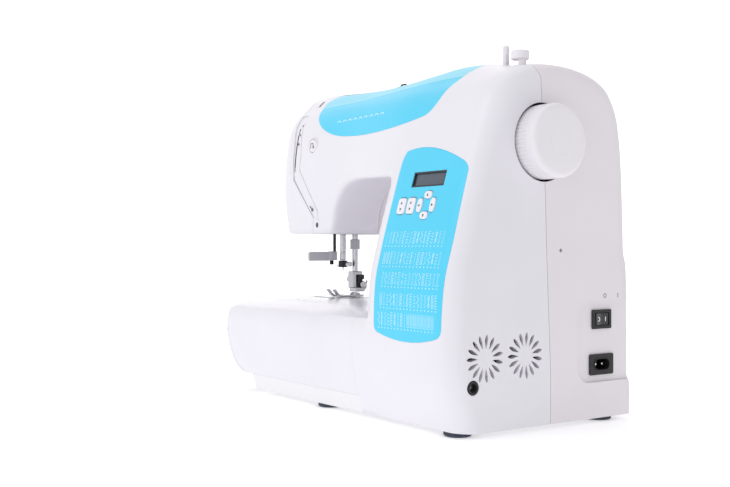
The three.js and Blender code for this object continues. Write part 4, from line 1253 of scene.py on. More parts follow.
def foot(node):
    """A rubber foot with a soft edge, a ribbed side and a screw hole."""
    c = centre(node)
    top = PAN_BOTTOM - 0.3
    profile = [(0, 1.4), (2.6, 1.4), (2.9, 1.1), (3.2, 0.3), (3.8, 0), (9.0, 0), (10.1, 0.35), (10.8, 1.1),
               (11.0, 2.0), (10.7, 2.3), (11.0, 2.7), (11.0, top - 0.3), (10.7, top), (0, top)]
    return finish(lathe("Z", profile, c.x, c.y, 64), node + "_rubber", FOOT_RUBBER, "foot_rubber", node)


for build in (extension_table, accessory_lid, free_arm_cover, needle_plate, feed_dog, bobbin_cover, base_pan):
    build()
for node in ("foot_front_right", "foot_front_left", "foot_rear_right", "foot_rear_left"):
    foot(node)


# ---------------------------------------------------------------- keys and prints on the front
def caster(source):
    """Finds the surface of a working object: where a line from outside first meets it."""
    tree = BVHTree.FromObject(source, bpy.context.evaluated_depsgraph_get())

    def front(x, z):
        hit, normal, _, _ = tree.ray_cast(Vector((x, -200, z)), Vector((0, 1, 0)))
        return hit, normal
    return front


FRONT = caster(SKIN)


def button(outline, proud, deep, edge, steps=5):
    """A domed key: the outline, standing proud of the casing along its own normal, with a rolled edge."""
    cx = sum(p[0] for p in outline) / len(outline)
    cz = sum(p[1] for p in outline) / len(outline)
    at, normal = FRONT(cx, cz)
    rings = []
    for i in range(steps + 1):
        a = math.pi / 2 * i / steps
        inset, lift = edge * (1 - math.cos(a)), proud - edge + edge * math.sin(a)
        rings.append((inset, lift))
    rows = [(0.0, -deep), *rings, (edge + 1.2, proud + 0.12)]
    turn = Vector((0, -1, 0)).rotation_difference(normal).to_matrix()
    skin = []
    for inset, lift in rows:
        ring = []
        for x, z in outline:
            dx, dz = x - cx, z - cz
            r = max(1e-6, math.hypot(dx, dz))
            k = max(0.15, (r - inset) / r)
            ring.append(at + turn @ Vector((dx * k, -lift, dz * k)))
        skin.append(ring)
    return loft(skin)


def printed(outline, lift=0.07, sink=0.3):
    """A thin printed mark on the casing's front, in front view."""
    count = len(outline)
    near, far = [], []
    for x, z in outline:
        at, _ = FRONT(x, z)
        near.append((x, at.y - lift, z))
        far.append((x, at.y + sink, z))
    faces = [(i, (i + 1) % count, count + (i + 1) % count, count + i) for i in range(count)]
    return solid([*near, *far], [*faces, tuple(range(count)), tuple(range(count, 2 * count))])


def marker(key, tips):
    """A small dark sign on a key: triangles with their points at the tips."""
    c = centre(key)
    parts = []
    for dx, dz, size, turn in tips:
        tips_of = [
            (dx + size * math.cos(turn + math.radians(k)), dz + size * math.sin(turn + math.radians(k)))
            for k in (0, 130, 230)
        ]
        parts.append(printed([(c.x + a, c.z + b) for a, b in tips_of], 1.2, -0.9))
    return finish(merge(*parts), key + "_sign", DARK_PRINT, "black_plastic", body=body_of(key))


KEY_TURNS = {
    "key_left": math.pi, "key_up": math.pi / 2, "key_right": 0.0, "key_down": -math.pi / 2,
}
for key in (*SELECT_KEYS, *ARROW_KEYS):
    if key in SELECT_KEYS:
        outline = select_outline(key, 0)
        signs = [(0, 2.6, 1.5, math.pi / 2), (0, -2.6, 1.5, -math.pi / 2)]
    else:
        outline = arrow_outline(key, 0)
        signs = [(0, 0, 1.5, KEY_TURNS[key])]
    finish(button(outline, 1.0, 3.0, 0.9), key + "_cap", KEY_WHITE, "key_plastic", key, angle=60)
    marker(key, signs)


def stitch(kind, z0, z1):
    """One stitch drawn as lines of (across, height) points, from z0 to z1."""
    h = z1 - z0
    saw = lambda n, w: [((w if i % 2 else -w), z0 + h * i / n) for i in range(n + 1)]
    wave = lambda n, w: [(w * math.sin(math.tau * n * i / 40), z0 + h * i / 40) for i in range(41)]
    if kind == 0:
        return [[(0, z0 + h * k / 5), (0, z0 + h * (k + 0.62) / 5)] for k in range(5)]
    if kind == 1:
        return [saw(7, 1.2)]
    if kind == 2:
        return [wave(2, 1.2)]
    if kind == 3:
        return [[(-1, z0), (-1, z1)], *[[(-1, z0 + h * k / 5), (1.3, z0 + h * k / 5)] for k in range(6)]]
    if kind == 4:
        return [saw(12, 1.1)]
    if kind == 5:
        return [[(-0.8, z0), (-0.8, z1)], saw(5, 0.9)]
    if kind == 6:
        return [
            [(-1.2, z0 + h * (k + 0.5) / 4), (0, z0 + h * k / 4), (1.2, z0 + h * (k + 0.5) / 4)]
            for k in range(4)
        ]
    if kind == 7:
        return [
            [
                (
                    1.1 * math.cos(math.tau * i / 12),
                    z0 + h * (k + 0.5) / 4 + 1.2 * math.sin(math.tau * i / 12)
                )
                for i in range(13)
            ]
            for k in range(4)
        ]
    if kind == 8:
        return [[(-1.1, z0 + 1), (1.1, z1 - 1)], [(1.1, z0 + 1), (-1.1, z1 - 1)], [(0, z0), (0, z1)]]
    return [[(-1.3, z0), (-1.3, z1), (1.3, z1), (1.3, z0), (-1.3, z0)], [(0, z0 + 1.5), (0, z1 - 1.5)]]


ROWS = [
    (157.0, 144.9, 74.5, 151.5), (140.6, 128.6, 77.0, 152.5), (124.4, 112.4, 79.0, 154.0),
    (108.0, 95.4, 79.0, 154.0), (92.4, 79.4, 77.0, 150.0)
]
STITCHES_IN_ROW = 17
STITCH_LINE = 0.34
ROW_KINDS = [
    [0, 1, 5, 2, 4, 3, 6, 1, 7, 8, 2, 5, 3, 6, 8, 1, 4],
    [9, 7, 3, 4, 1, 8, 2, 6, 5, 0, 3, 7, 1, 2, 8, 6, 4],
    [4, 2, 1, 7, 5, 3, 8, 6, 4, 1, 9, 2, 7, 3, 5, 4, 9],
    [9, 4, 6, 2, 8, 1, 7, 0, 5, 3, 6, 2, 4, 1, 8, 7, 3], [2, 5, 1, 6, 3, 8, 4, 7, 0, 9, 9, 9, 9, 9, 9, 9, 9]
]


def stitch_chart():
    """Rows of little stitch drawings, each over a small index mark."""
    parts = []
    for (top, low, left, right), kinds in zip(ROWS, ROW_KINDS):
        for i, kind in enumerate(kinds):
            x = left + (right - left) * (i + 0.5) / STITCHES_IN_ROW
            for line in stitch(kind, low + 2.6, top):
                parts.append(printed(stroke([(x + a, b) for a, b in line], STITCH_LINE)))
            parts.append(
                printed([(x - 0.45, low), (x + 0.45, low), (x + 0.45, low + 1.0), (x - 0.45, low + 1.0)])
            )
    return finish(merge(*parts), "stitch_chart", PRINT, "blue_trim", body="frame_unit")


def seam_motif():
    """A plain dashed stitch line on the arm's band, in place of any mark."""
    parts = []
    for i in range(9):
        x = -62 + i * 9.5
        parts.append(printed(stroke([(x, 262.0), (x + 2, 263.6), (x + 4, 263.6), (x + 6, 262.0)], 0.8)))
    return finish(merge(*parts), "arm_band_stitches", PRINT, "white_knob", body="frame_unit")


stitch_chart()
seam_motif()


# ---------------------------------------------------------------- knobs and marks on the casing
def grip_outline(a, b, r, teeth, depth):
    """A round outline with a fine grip round it."""
    steps = teeth * 4
    wave = (0.0, 0.7, 1.0, 0.7)
    return [(a + (r - depth * wave[i % 4]) * math.cos(math.tau * i / steps),
             b + (r - depth * wave[i % 4]) * math.sin(math.tau * i / steps)) for i in range(steps)]


def reverse_button():
    high = corners("reverse_button")[1]
    at, _ = FRONT(BUTTON.x, BUTTON.z)
    top = at.y - 1.3
    profile = [
        (0, 0), (3.5, 0.12), (5.6, 0.4), (6.3, 0.9), (6.5, 1.8), (6.5, high.y - top), (0, high.y - top)
    ]
    cap = lathe("Y", [(r, top + d) for r, d in profile], BUTTON.x, BUTTON.z, 64)
    finish(cap, "reverse_button_cap", WHITE_KNOB, "white_knob", "reverse_button", angle=60)
    arc = [
        (BUTTON.x + 2.2 * math.cos(math.radians(t)), BUTTON.z + 0.2 + 2.2 * math.sin(math.radians(t)))
        for t in range(-20, 201, 11)
    ]
    line = [(BUTTON.x - 2.2, BUTTON.z + 0.2), (BUTTON.x - 2.2, BUTTON.z - 2.6)]
    head = [
        (BUTTON.x + 0.6, BUTTON.z - 0.6), (BUTTON.x + 3.8, BUTTON.z - 0.6), (BUTTON.x + 2.2, BUTTON.z - 3.2)
    ]
    marks = [
        prism("Y", outline, top - 0.06, top + 0.6)
        for outline in (stroke(arc, 0.8), stroke(line, 0.8), head)
    ]
    return finish(
        merge(*marks), "reverse_button_sign", DARK_PRINT, "black_plastic", body=body_of("reverse_button")
    )


def button_ring():
    """The rim round the reverse button."""
    at, _ = FRONT(BUTTON.x, BUTTON.z)
    profile = [
        (6.9, at.y + 2.4), (6.9, at.y - 0.35), (7.3, at.y - 0.75), (7.9, at.y - 0.6), (8.3, at.y),
        (8.3, at.y + 2.4)
    ]
    return finish(
        lathe("Y", [*profile, profile[0]], BUTTON.x, BUTTON.z, 64), "reverse_button_rim", WHITE_FRONT,
        "white_gloss", body="frame_unit"
    )


EYELET = (-84.7, 165.5)


def eyelet():
    """The thread eyelet at the foot of the channel, drawn as a flat dark printed oval of painted shade in
    place of an opening, and small signs beside the thread's way.
    """
    ring = [(2.6 * math.cos(t) * 0.8, 2.6 * math.sin(t)) for t in (math.tau * i / 28 for i in range(28))]
    # The eyelet's opening is a dark oval printed on the casing: painted shade, not a real hole.
    hole = printed([(EYELET[0] + a, EYELET[1] + b) for a, b in ring], 0.1, 1.2)
    signs = [
        [(-127.4, 264.5), (-124.8, 264.5), (-126.1, 267)],
        [(-128.4, 255.5), (-126.4, 255.5), (-127.4, 257.6)], [(-128.2, 246), (-126, 246), (-127.1, 248.4)]
    ]
    arrow = stroke([(-98.5, 184), (-94.6, 180.4)], 0.7)
    tip = [(-96.2, 179.4), (-93.2, 179.0), (-93.6, 182.0)]
    return finish(
        merge(hole, *[printed(s, 0.06, 0.3) for s in (*signs, arrow, tip)]), "thread_path_signs_and_hole_shade",
        DARK_PRINT, "black_plastic", body="frame_unit"
    )


def handwheel():
    """A plain drum of soft white plastic, with a fine grip and a faint ring on its face."""
    low, high = corners("handwheel")
    r = (high.z - low.z) / 2
    face = high.x
    profile = [
        (0, low.x), (26, low.x), (r - 0.8, low.x), (r, low.x + 0.8), (r, face - 4.2), (r - 0.5, face - 2.3),
        (r - 1.7, face - 0.9), (r - 3.4, face - 0.25), (r - 5.5, face - 0.05), (12.0, face),
        (11.7, face - 0.2), (11.4, face), (0, face)
    ]
    wheel = lathe("X", profile, WHEEL.y, WHEEL.z, 128)
    grip = circle(WHEEL.y, WHEEL.z, r + 0.35, 60)
    grooves = [rod("X", y, z, low.x + 3, low.x + 17, 0.75, 0, 10) for y, z in grip]
    return finish(
        cut(wheel, merge(*grooves)), "handwheel_drum", WHITE_KNOB, "white_knob", "handwheel", angle=40
    )


def winder():
    low, high = corners("winder_spindle")
    profile = [
        (0, low.z), (2.7, low.z), (2.7, 277.8), (8.6, 278), (9, 278.4), (9, 280.6), (8.6, 281), (3.6, 281),
        (2.7, 281.9), (2.7, high.z - 0.9), (2.4, high.z - 0.3), (1.7, high.z), (0, high.z)
    ]
    finish(
        lathe("Z", profile, WINDER.x, WINDER.y, 48), "winder_post", WHITE_KNOB, "white_knob",
        "winder_spindle"
    )
    spring = wire(
        [
            (WINDER.x + 2.4, WINDER.y - 1.2, 289), (WINDER.x + 3.5, WINDER.y - 1.8, 290.4),
            (WINDER.x + 3.7, WINDER.y - 1.9, 297), (WINDER.x + 3.2, WINDER.y - 1.6, 301),
            (WINDER.x + 2.2, WINDER.y - 1.1, 302)
        ],
        0.35
    )
    finish(spring, "winder_spring", CHROME, "plated_steel", body=body_of("winder_spindle"))
    low, high = corners("winder_stop")
    stem_x, disc_x = STOP.x + 1.3, STOP.x - 1.3
    stem = rod("Z", stem_x, STOP.y, low.z, 297, 3.2, 0.3)
    disc = lathe(
        "Z",
        [
            (0, 295.9), (6.9, 295.9), (7.4, 296.4), (7.4, high.z - 0.8), (7.1, high.z - 0.25),
            (6.4, high.z), (2.4, high.z), (2.2, high.z - 0.4), (0, high.z - 0.4)
        ],
        disc_x, STOP.y, 64
    )
    return finish(join(stem, disc), "winder_stop_disc", WHITE_KNOB, "white_knob", "winder_stop")


def spool_pin():
    low, high = corners("spool_pin")
    y, z = centre("spool_pin").y, centre("spool_pin").z
    profile = [
        (0, low.x), (1.9, low.x), (2.6, low.x + 0.7), (3.0, low.x + 3), (3.0, high.x - 6.2),
        (3.9, high.x - 5.6), (6.6, high.x - 5.5), (7.0, high.x - 5.1), (7.0, high.x - 0.4), (6.6, high.x),
        (0, high.x)
    ]
    return finish(lathe("X", profile, y, z, 48), "spool_pin_rod", WHITE_KNOB, "white_knob", "spool_pin")


def thread_guide():
    low, high = corners("thread_guide")
    c = centre("thread_guide")
    plate = bevel(prism("Z", rounded(low.x, high.x, low.y, high.y, 1.6), low.z, low.z + 1.2), 0.3, 2)
    loop = wire(
        [
            (low.x + 3, c.y, low.z), (low.x + 3, c.y, high.z - 1.6), (low.x + 4.2, c.y, high.z - 0.8),
            (c.x, c.y, high.z - 0.7), (high.x - 4.2, c.y, high.z - 0.8), (high.x - 3, c.y, high.z - 1.6),
            (high.x - 3, c.y, low.z)
        ],
        0.8, 14, False
    )
    return finish(merge(plate, loop), "thread_guide_loop", DARK_METAL, "steel", "thread_guide")


def tension_dial():
    low, high = DIAL - Vector((DIAL_HALF, 0, 0)), DIAL + Vector((DIAL_HALF, 0, 0))
    r = DIAL_R
    body = bevel(prism("X", grip_outline(DIAL.y, DIAL.z, r, 46, 0.5), low.x, high.x), 0.25, 2, 60)
    body = cut(
        body, rod("X", DIAL.y, DIAL.z, low.x - 1, high.x + 1, 3),
        rod("X", DIAL.y, DIAL.z, high.x - 1, high.x + 1, r - 3)
    )
    finish(body, "tension_dial_wheel", BLACK_PLASTIC, "black_plastic", "tension_dial")
    places = circle(DIAL.y, DIAL.z, r - 0.42, 24)
    marks = [rod("X", y, z, low.x + 1.1, high.x - 1.1, 0.5, 0, 12) for y, z in places]
    return finish(merge(*marks), "tension_dial_marks", KEY_WHITE, "white_knob", body=body_of("tension_dial"))


def take_up_lever():
    low, high = corners("take_up_lever")
    side = catmull(
        [
            (-6, 220), (0, 219.8), (2.4, 224), (-2, 232.5), (-14, 241), (-26, 248.4), (-36, 256),
            (-41, 260.3), (-43.6, 259.5), (-44, 256.6), (-38, 250), (-30, 243), (-19, 235), (-10, 228),
            (-7, 223.5), (-6, 220)
        ],
        1.2
    )[:-1]
    lever = bevel(prism("X", side, low.x + 0.35, high.x - 0.35), 0.3, 3)
    slot = prism("X", rounded(-42.3, -39.6, 255.8, 258.6, 1.2), low.x - 1, high.x + 1)
    return finish(
        cut(lever, rod("X", -2, 224.5, low.x - 1, high.x + 1, 1.9), slot), "take_up_lever_blade", CHROME,
        "plated_steel", "take_up_lever"
    )


# ---------------------------------------------------------------- needle, presser and threader
def needle_group():
    x, y = NEEDLE.x, NEEDLE.y
    low, high = corners("needle_bar")
    bar = lathe(
        "Z",
        [
            (0, low.z), (2.4, low.z), (3, low.z + 0.6), (3, 138), (2.75, 138.3), (2.75, 139.2), (3, 139.5),
            (3, high.z - 0.6), (2.4, high.z), (0, high.z)
        ],
        x, y, 48
    )
    finish(bar, "needle_bar_rod", CHROME, "plated_steel", "needle_bar")
    low, high = corners("needle_clamp")
    body = lathe(
        "Z",
        [(0, low.z), (3.8, low.z), (4.6, low.z + 0.8), (4.6, high.z - 1.0), (4.0, high.z), (0, high.z)], x,
        y, 48
    )
    ear = bevel(block(x + 3, x + 8, y - 2.2, y + 2.2, 124.9, 129.6), 0.5, 3)
    guide = wire(
        [
            (x - 3.8, y - 1.5, 125.4), (x - 5.6, y - 3.4, 125.2), (x - 4.8, y - 5.4, 125.0),
            (x - 1.5, y - 5.8, 125.0), (x + 0.4, y - 5.2, 125.1)
        ],
        0.45
    )
    finish(
        cut(join(body, ear), rod("Z", x, y, low.z - 2, 128, 1.25)), "needle_clamp_body", DARK_METAL,
        "steel", "needle_clamp"
    )
    finish(guide, "needle_clamp_guide", CHROME, "plated_steel", body=body_of("needle_clamp"))
    low, high = corners("needle_clamp_screw")
    z = centre("needle_clamp_screw").z
    head = bevel(prism("X", grip_outline(y, z, 2.6, 18, 0.25), low.x, high.x), 0.25, 2, 60)
    finish(
        cut(head, block(high.x - 0.9, high.x + 1, y - 0.35, y + 0.35, z - 3, z + 3)),
        "needle_clamp_screw_head", CHROME, "plated_steel", "needle_clamp_screw"
    )
    low, high = corners("needle")
    shank = lathe(
        "Z",
        [
            (0, low.z), (0.12, low.z + 0.5), (0.36, low.z + 2.4), (0.42, low.z + 4), (0.42, high.z - 7.2),
            (0.6, high.z - 6.4), (0.82, high.z - 5.4), (0.82, high.z - 0.25), (0.6, high.z), (0, high.z)
        ],
        x, y, 28
    )
    eye = prism("Y", rounded(x - 0.16, x + 0.16, low.z + 3.0, low.z + 4.6, 0.15, 3), y - 2, y + 2)
    return finish(cut(shank, eye), "needle_blade", CHROME, "plated_steel", "needle")


def presser_group():
    x, y = PRESSER.x, PRESSER.y
    low, high = corners("presser_bar")
    bar = lathe(
        "Z",
        [(0, low.z), (2.6, low.z), (3.2, low.z + 0.6), (3.2, high.z - 0.6), (2.6, high.z), (0, high.z)], x,
        y, 48
    )
    finish(bar, "presser_bar_rod", CHROME, "plated_steel", "presser_bar")
    sleeve = lathe(
        "Z", [(3.3, 142), (4.5, 142), (4.9, 142.4), (4.9, 151.6), (4.5, 152), (3.3, 152), (3.3, 142)], x, y,
        48
    )
    finish(sleeve, "presser_bar_sleeve", GREY_PLASTIC, "grey_plastic", body=body_of("presser_bar"))
    low, high = corners("foot_holder")
    collar = cut(
        bevel(block(x - 5, x + 5, y - 5.5, y + 6, 103, high.z), 1.1, 4), rod("Z", x, y, 109, 125, 3.5),
        block(x - 6, x + 3.4, y - 1, y + 1, 108, 125)
    )
    yoke = bevel(block(x - 6, x + 6, y - 3, y + 8, low.z, 103.6), 0.7, 3)
    finish(join(collar, yoke), "foot_holder_ankle", STEEL, "steel", "foot_holder")
    hook = wire(
        [
            (x + 1.5, y + 7.2, 100.5), (x + 1.5, y + 10, 101), (x + 1.6, y + 12.2, 103.6),
            (x + 1.8, y + 12.4, 107), (x + 1.8, y + 13.6, 110.2)
        ],
        1.0, 14
    )
    finish(hook, "foot_release_lever", GREY_PLASTIC, "grey_plastic", body=body_of("foot_holder"))
    cutter = bevel(block(x + 5.3, x + 7.4, y - 1, y + 6.5, 104, 116.5), 0.7, 3)
    cutter = cut(cutter, prism("X", [(y + 7.2, 112.6), (y + 3.4, 110.8), (y + 7.2, 109.4)], x + 4, x + 9))
    finish(cutter, "thread_cutter", BLACK_PLASTIC, "black_plastic", body=body_of("foot_holder"))
    low, high = corners("foot_holder_screw")
    z = centre("foot_holder_screw").z
    head = bevel(prism("X", grip_outline(y, z, 3.4, 16, 0.3), low.x, high.x - 1.4), 0.5, 3, 60)
    stem = rod("X", y, z, high.x - 2, high.x, 1.7)
    finish(
        join(cut(head, block(low.x - 1, low.x + 0.9, y - 0.4, y + 0.4, z - 4, z + 4)), stem),
        "foot_holder_screw_head", WHITE_KNOB, "white_knob", "foot_holder_screw"
    )
    knob = lathe(
        "X",
        [
            (0, x + 7.6), (2.2, x + 7.6), (3.2, x + 8.2), (3.4, x + 9.4), (3.0, x + 10.4), (1.8, x + 10.9),
            (0, x + 11)
        ],
        y + 4, 106.4, 40
    )
    finish(knob, "thread_cutter_knob", WHITE_KNOB, "white_knob", body=body_of("foot_holder"), angle=60)
    low, high = corners("presser_foot")
    side = [
        (-30, high.z - 0.7), (-28.9, high.z), (-28, high.z - 0.4), (-23.4, 97.0), (-22.4, 96.6),
        (-19, 96.4), (5, 96.4), (5, low.z), (-21, low.z), (-23, 95.3), (-25, 96.4)
    ]
    sole = prism("X", [(y + dy, z) for dy, z in side], x - 8, x + 8)
    toe = prism("Z", rounded(x - 2.9, x + 2.9, y - 40, y - 17.5, 2.6), 90, 105)
    sole = cut(
        bevel(cut(sole, toe), 0.45, 3, 40),
        prism("Z", rounded(NEEDLE.x - 3.4, NEEDLE.x + 3.4, NEEDLE.y - 1.9, NEEDLE.y + 1.9, 1.7), 90, 105)
    )
    cheeks = [
        bevel(
            prism("X", [(y - 4, 96.2), (y + 4, 96.2), (y + 3, 98.4), (y - 3, 98.4)], x + a, x + a + 1.2),
            0.3, 2
        )
        for a in (-4, 2.8)
    ]
    pin = rod("X", y, 97.9, x - 4.4, x + 4.4, 0.75, 0.2, 20)
    return finish(merge(sole, *cheeks, pin), "presser_foot_sole", CHROME, "plated_steel", "presser_foot")


def lifter():
    c = corners("presser_lifter")
    hub_z = c[1].z - 7
    x = centre("presser_lifter").x
    y = 75
    hub = bevel(rod("Y", x, hub_z, y + 1, y + 9, 7), 0.6, 3)
    pin = rod("Y", x, hub_z, y - 9, y + 2, 3, 0.4)
    arm = bevel(
        prism(
            "X", [(y + 1.6, hub_z), (y + 8.4, hub_z), (y + 8.4, hub_z - 42), (y + 1.6, hub_z - 42)], x - 4,
            x + 4
        ),
        1.2, 4
    )
    grip = bevel(
        prism("Y", rounded(x - 6, x + 6, hub_z - 46, hub_z - 37.6, 3.2), y + 1.5, y + 20), 1.2, 4, 40
    )
    ribs = [
        block(x - 3.6, x + 3.6, y + 8.5 + 2.4 * i, y + 9.5 + 2.4 * i, hub_z - 47, hub_z - 45.5)
        for i in range(5)
    ]
    return finish(
        cut(join(hub, pin, arm, grip), merge(*ribs)), "presser_lifter_lever", WHITE_KNOB, "white_knob",
        "presser_lifter"
    )


def threader():
    x, y = NEEDLE.x, NEEDLE.y
    high = corners("needle_threader")[1]
    finish(
        rod("Z", x - 7, y - 5.5, 133, high.z, 1.5, 0.3), "threader_rod", DARK_METAL, "steel",
        body=body_of("needle_threader")
    )
    carrier = bevel(block(x - 9.5, x - 4.9, y - 12, y - 3.5, 131, 140), 0.7, 3)
    tab = bevel(prism("X", rounded(y - 36, y - 11, 130.5, 139.5, 1.8), x - 9, x - 6.6), 0.5, 3)
    ribs = [block(x - 9.4, x - 8.7, y - 34.5 + 2 * i, y - 33.7 + 2 * i, 132, 138) for i in range(5)]
    finish(
        cut(join(carrier, tab), merge(*ribs)), "threader_tab", GREY_PLASTIC, "grey_plastic",
        "needle_threader"
    )
    tip = bevel(block(x - 8.6, x - 5.8, y - 10.6, y - 7.2, 126.6, 130.9), 0.4, 2)
    return finish(tip, "threader_tip", BLACK_PLASTIC, "black_plastic", body=body_of("needle_threader"))


# ---------------------------------------------------------------- right end fittings
BEZEL_RIM = 1.9  # how far the rim stands out round the housing


def bezel(y, z, w, h, r, back, front):
    """A rimmed housing that fills a cut-out in the recess on the right end."""
    face = END - RECESS_DEPTH
    rim = bevel(prism("X", rounded(y - w / 2, y + w / 2, z - h / 2, z + h / 2, r), face + GAP, front), 0.4, 3)
    half_w, half_h = w / 2 - BEZEL_RIM, h / 2 - BEZEL_RIM
    return join(rim, block(back, face + 1, y - half_w, y + half_w, z - half_h, z + half_h))


def switch_group():
    low, high = corners("power_switch_housing")
    face = END - RECESS_DEPTH
    y, z, w, h = SWITCH.y, SWITCH.z, SWITCH_W, SWITCH_H
    housing = bezel(y, z, w, h, 0.8, low.x, high.x)
    well = prism(
        "X", rounded(y - w / 2 + 3, y + w / 2 - 3, z - h / 2 + 2.7, z + h / 2 - 2.7, 0.4), face - 9,
        face + 4
    )
    finish(cut(housing, well), "power_switch_bezel", BLACK_PLASTIC, "black_plastic", "power_switch_housing")
    low, high = corners("power_rocker")
    half = (high.y - low.y) / 2
    plan = [
        (face - 4, -half), (face - 4, half), (face + 0.6, half), (face + 2.3, half - 0.7),
        (face + 2.3, half - 1.3), (face + 1.1, 1.6), (face + 0.9, 0), (face + 1.0, -2),
        (face + 1.6, -half + 1.3), (face + 1.5, -half + 0.6), (face + 0.2, -half)
    ]
    rocker = bevel(prism("Z", [(px, y - dy) for px, dy in plan], low.z, high.z), 0.2, 2, 50)
    finish(rocker, "power_rocker_key", BLACK_GLOSS, "black_gloss", "power_rocker")
    bar = prism("X", rounded(y + 3.9, y + 4.6, z - 1.9, z + 1.9, 0.3, 3), face + 1.2, face + 1.62)
    ring = cut(
        prism("X", circle(y - 4.6, z, 1.9), face + 1.5, face + 1.95),
        prism("X", circle(y - 4.6, z, 1.25), face, face + 3)
    )
    return finish(
        merge(bar, ring), "power_rocker_signs", KEY_WHITE, "white_knob", body=body_of("power_rocker")
    )


def inlet():
    low, high = corners("power_inlet")
    face = END - RECESS_DEPTH
    y, z, w, h = INLET.y, INLET.z, INLET_W, INLET_H
    housing = bezel(y, z, w, h, 1.2, low.x, high.x)
    well = prism("X", rounded(y - 8.4, y + 8.4, z - 4.4, z + 4.4, 4.3), face - 14, face + 3)
    rim = cut(
        prism("X", rounded(y - 9.6, y + 9.6, z - 5.6, z + 5.6, 5.4), face + 1, high.x + 0.5),
        prism("X", rounded(y - 8.6, y + 8.6, z - 4.6, z + 4.6, 4.4), face, face + 4)
    )
    finish(
        join(cut(housing, well), bevel(rim, 0.2, 2)), "power_inlet_socket", BLACK_PLASTIC, "black_plastic",
        "power_inlet"
    )
    pins = [rod("X", y + dy, z, face - 15, face - 1.5, 1.2, 0.4, 24) for dy in (-4, 4)]
    return finish(merge(*pins), "power_inlet_pins", CHROME, "plated_steel", body="frame_unit")


def jack():
    low, high = corners("pedal_jack")
    y, z = JACK.y, JACK.z
    r = (high.z - low.z) / 2
    barrel = lathe(
        "X",
        [
            (3.3, low.x + 2), (3.3, high.x - 0.5), (3.7, high.x - 0.1), (4.3, high.x),
            (r - 0.4, high.x - 0.1), (r, high.x - 0.6), (r, low.x), (0, low.x), (0, low.x + 2)
        ],
        y, z, 56
    )
    return finish(barrel, "pedal_jack_barrel", BLACK_PLASTIC, "black_plastic", "pedal_jack")


def side_signs():
    """A plain ring and a bar over the switch."""
    face = END
    ring = cut(
        prism("X", circle(68, 104.5, 1.8), face - 0.3, face + 0.07),
        prism("X", circle(68, 104.5, 1.3), face - 1, face + 1)
    )
    bar = prism("X", rounded(83.5, 84.1, 102.7, 106.3, 0.25, 3), face - 0.3, face + 0.07)
    return finish(merge(ring, bar), "switch_signs", DARK_PRINT, "black_plastic", body="frame_unit")


# ---------------------------------------------------------------- hook and bobbin
def hook_group():
    x, y = HOOK.x, HOOK.y
    low, high = corners("rotary_hook")
    cup = lathe(
        "Z",
        [
            (0, 60), (14.8, 60), (16, 61.2), (16, high.z - 0.4), (15.6, high.z), (14.4, high.z), (14.4, 63),
            (0, 63)
        ],
        x, y, 72
    )
    boss = lathe(
        "Z",
        [(0, low.z), (7.6, low.z), (8, low.z + 0.4), (8, 51.6), (7.6, 52), (3, 52), (3, 60.5), (0, 60.5)],
        x, y, 48
    )
    beak = prism("Z", [(x - 20, y - 17), (x - 6, y - 17), (x - 12.6, y - 10.4)], 76, 81)
    finish(cut(join(cup, boss), beak), "rotary_hook_cup", CHROME, "plated_steel", "rotary_hook")
    low, high = corners("bobbin_case")
    case = lathe(
        "Z",
        [
            (0, low.z), (13.6, low.z), (14, low.z + 0.4), (14, high.z - 0.5), (13.6, high.z),
            (12.3, high.z), (12, high.z - 0.4), (12, 66), (0, 66)
        ],
        x, y, 72
    )
    finish(
        cut(case, block(x - 1.2, x + 1.2, y + 9, y + 16, 80, 90), rod("Z", x, y, low.z - 1, 67, 2)),
        "bobbin_case_cup", BLACK_PLASTIC, "black_plastic", "bobbin_case"
    )
    low, high = corners("bobbin")
    reel = lathe(
        "Z",
        [
            (3, low.z), (10.3, low.z), (10.6, low.z + 0.3), (10.6, low.z + 1.2), (10, low.z + 1.5),
            (5, low.z + 2.1), (5, high.z - 2.1), (10, high.z - 1.5), (10.6, high.z - 1.2),
            (10.6, high.z - 0.3), (10.3, high.z), (3, high.z), (3, low.z)
        ],
        x, y, 64
    )
    holes = merge(*[rod("Z", a, b, low.z - 1, high.z + 1, 0.9, 0, 16) for a, b in circle(x, y, 7.4, 6)])
    return finish(cut(reel, holes), "bobbin_reel", CLEAR_BOBBIN, "clear_bobbin", "bobbin")


for build in (
    reverse_button, button_ring, eyelet, handwheel, winder, spool_pin, thread_guide, tension_dial,
    take_up_lever, needle_group, presser_group, lifter, threader, switch_group, inlet, jack, side_signs,
    hook_group
):
    build()


# ---------------------------------------------------------------- pieces kept from the CAD
COPPER = metal("motor_can_metal", srgb(150, 152, 158), 0.36, (0.1, 1, 1), 700, 0.01, 0.12)
KEPT = {
    "main_shaft": (TURNED, "steel"), "lower_shaft": (TURNED, "steel"), "crank_disc": (STEEL, "steel"),
    "timing_pulley": (STEEL, "steel"), "drive_pulley": (BLACK_PLASTIC, "black_plastic"),
    "motor_pulley": (BLACK_PLASTIC, "black_plastic"), "drive_belt": (BELT_RUBBER, "belt_rubber"),
    "timing_belt": (BELT_RUBBER, "belt_rubber"), "main_motor": (COPPER, "steel"),
    "arm_frame": (CAST, "cast_frame"), "main_board": (BOARD, "board"),
}
for node, (paint, name) in KEPT.items():
    kept = frame["nodes"][node]
    kept.data.materials.clear()
    kept.data.materials.append(paint)


drop(SKIN, BED)


# ---------------------------------------------------------------- camera, light and floor
CAMERA_AT = Vector((0.7652, -0.5904, 0.1463))
CAMERA_TURN = 55.0  # degrees, 0 looks along +Y
CAMERA_LENS = 51.5
FRAME_WIDTH = 730


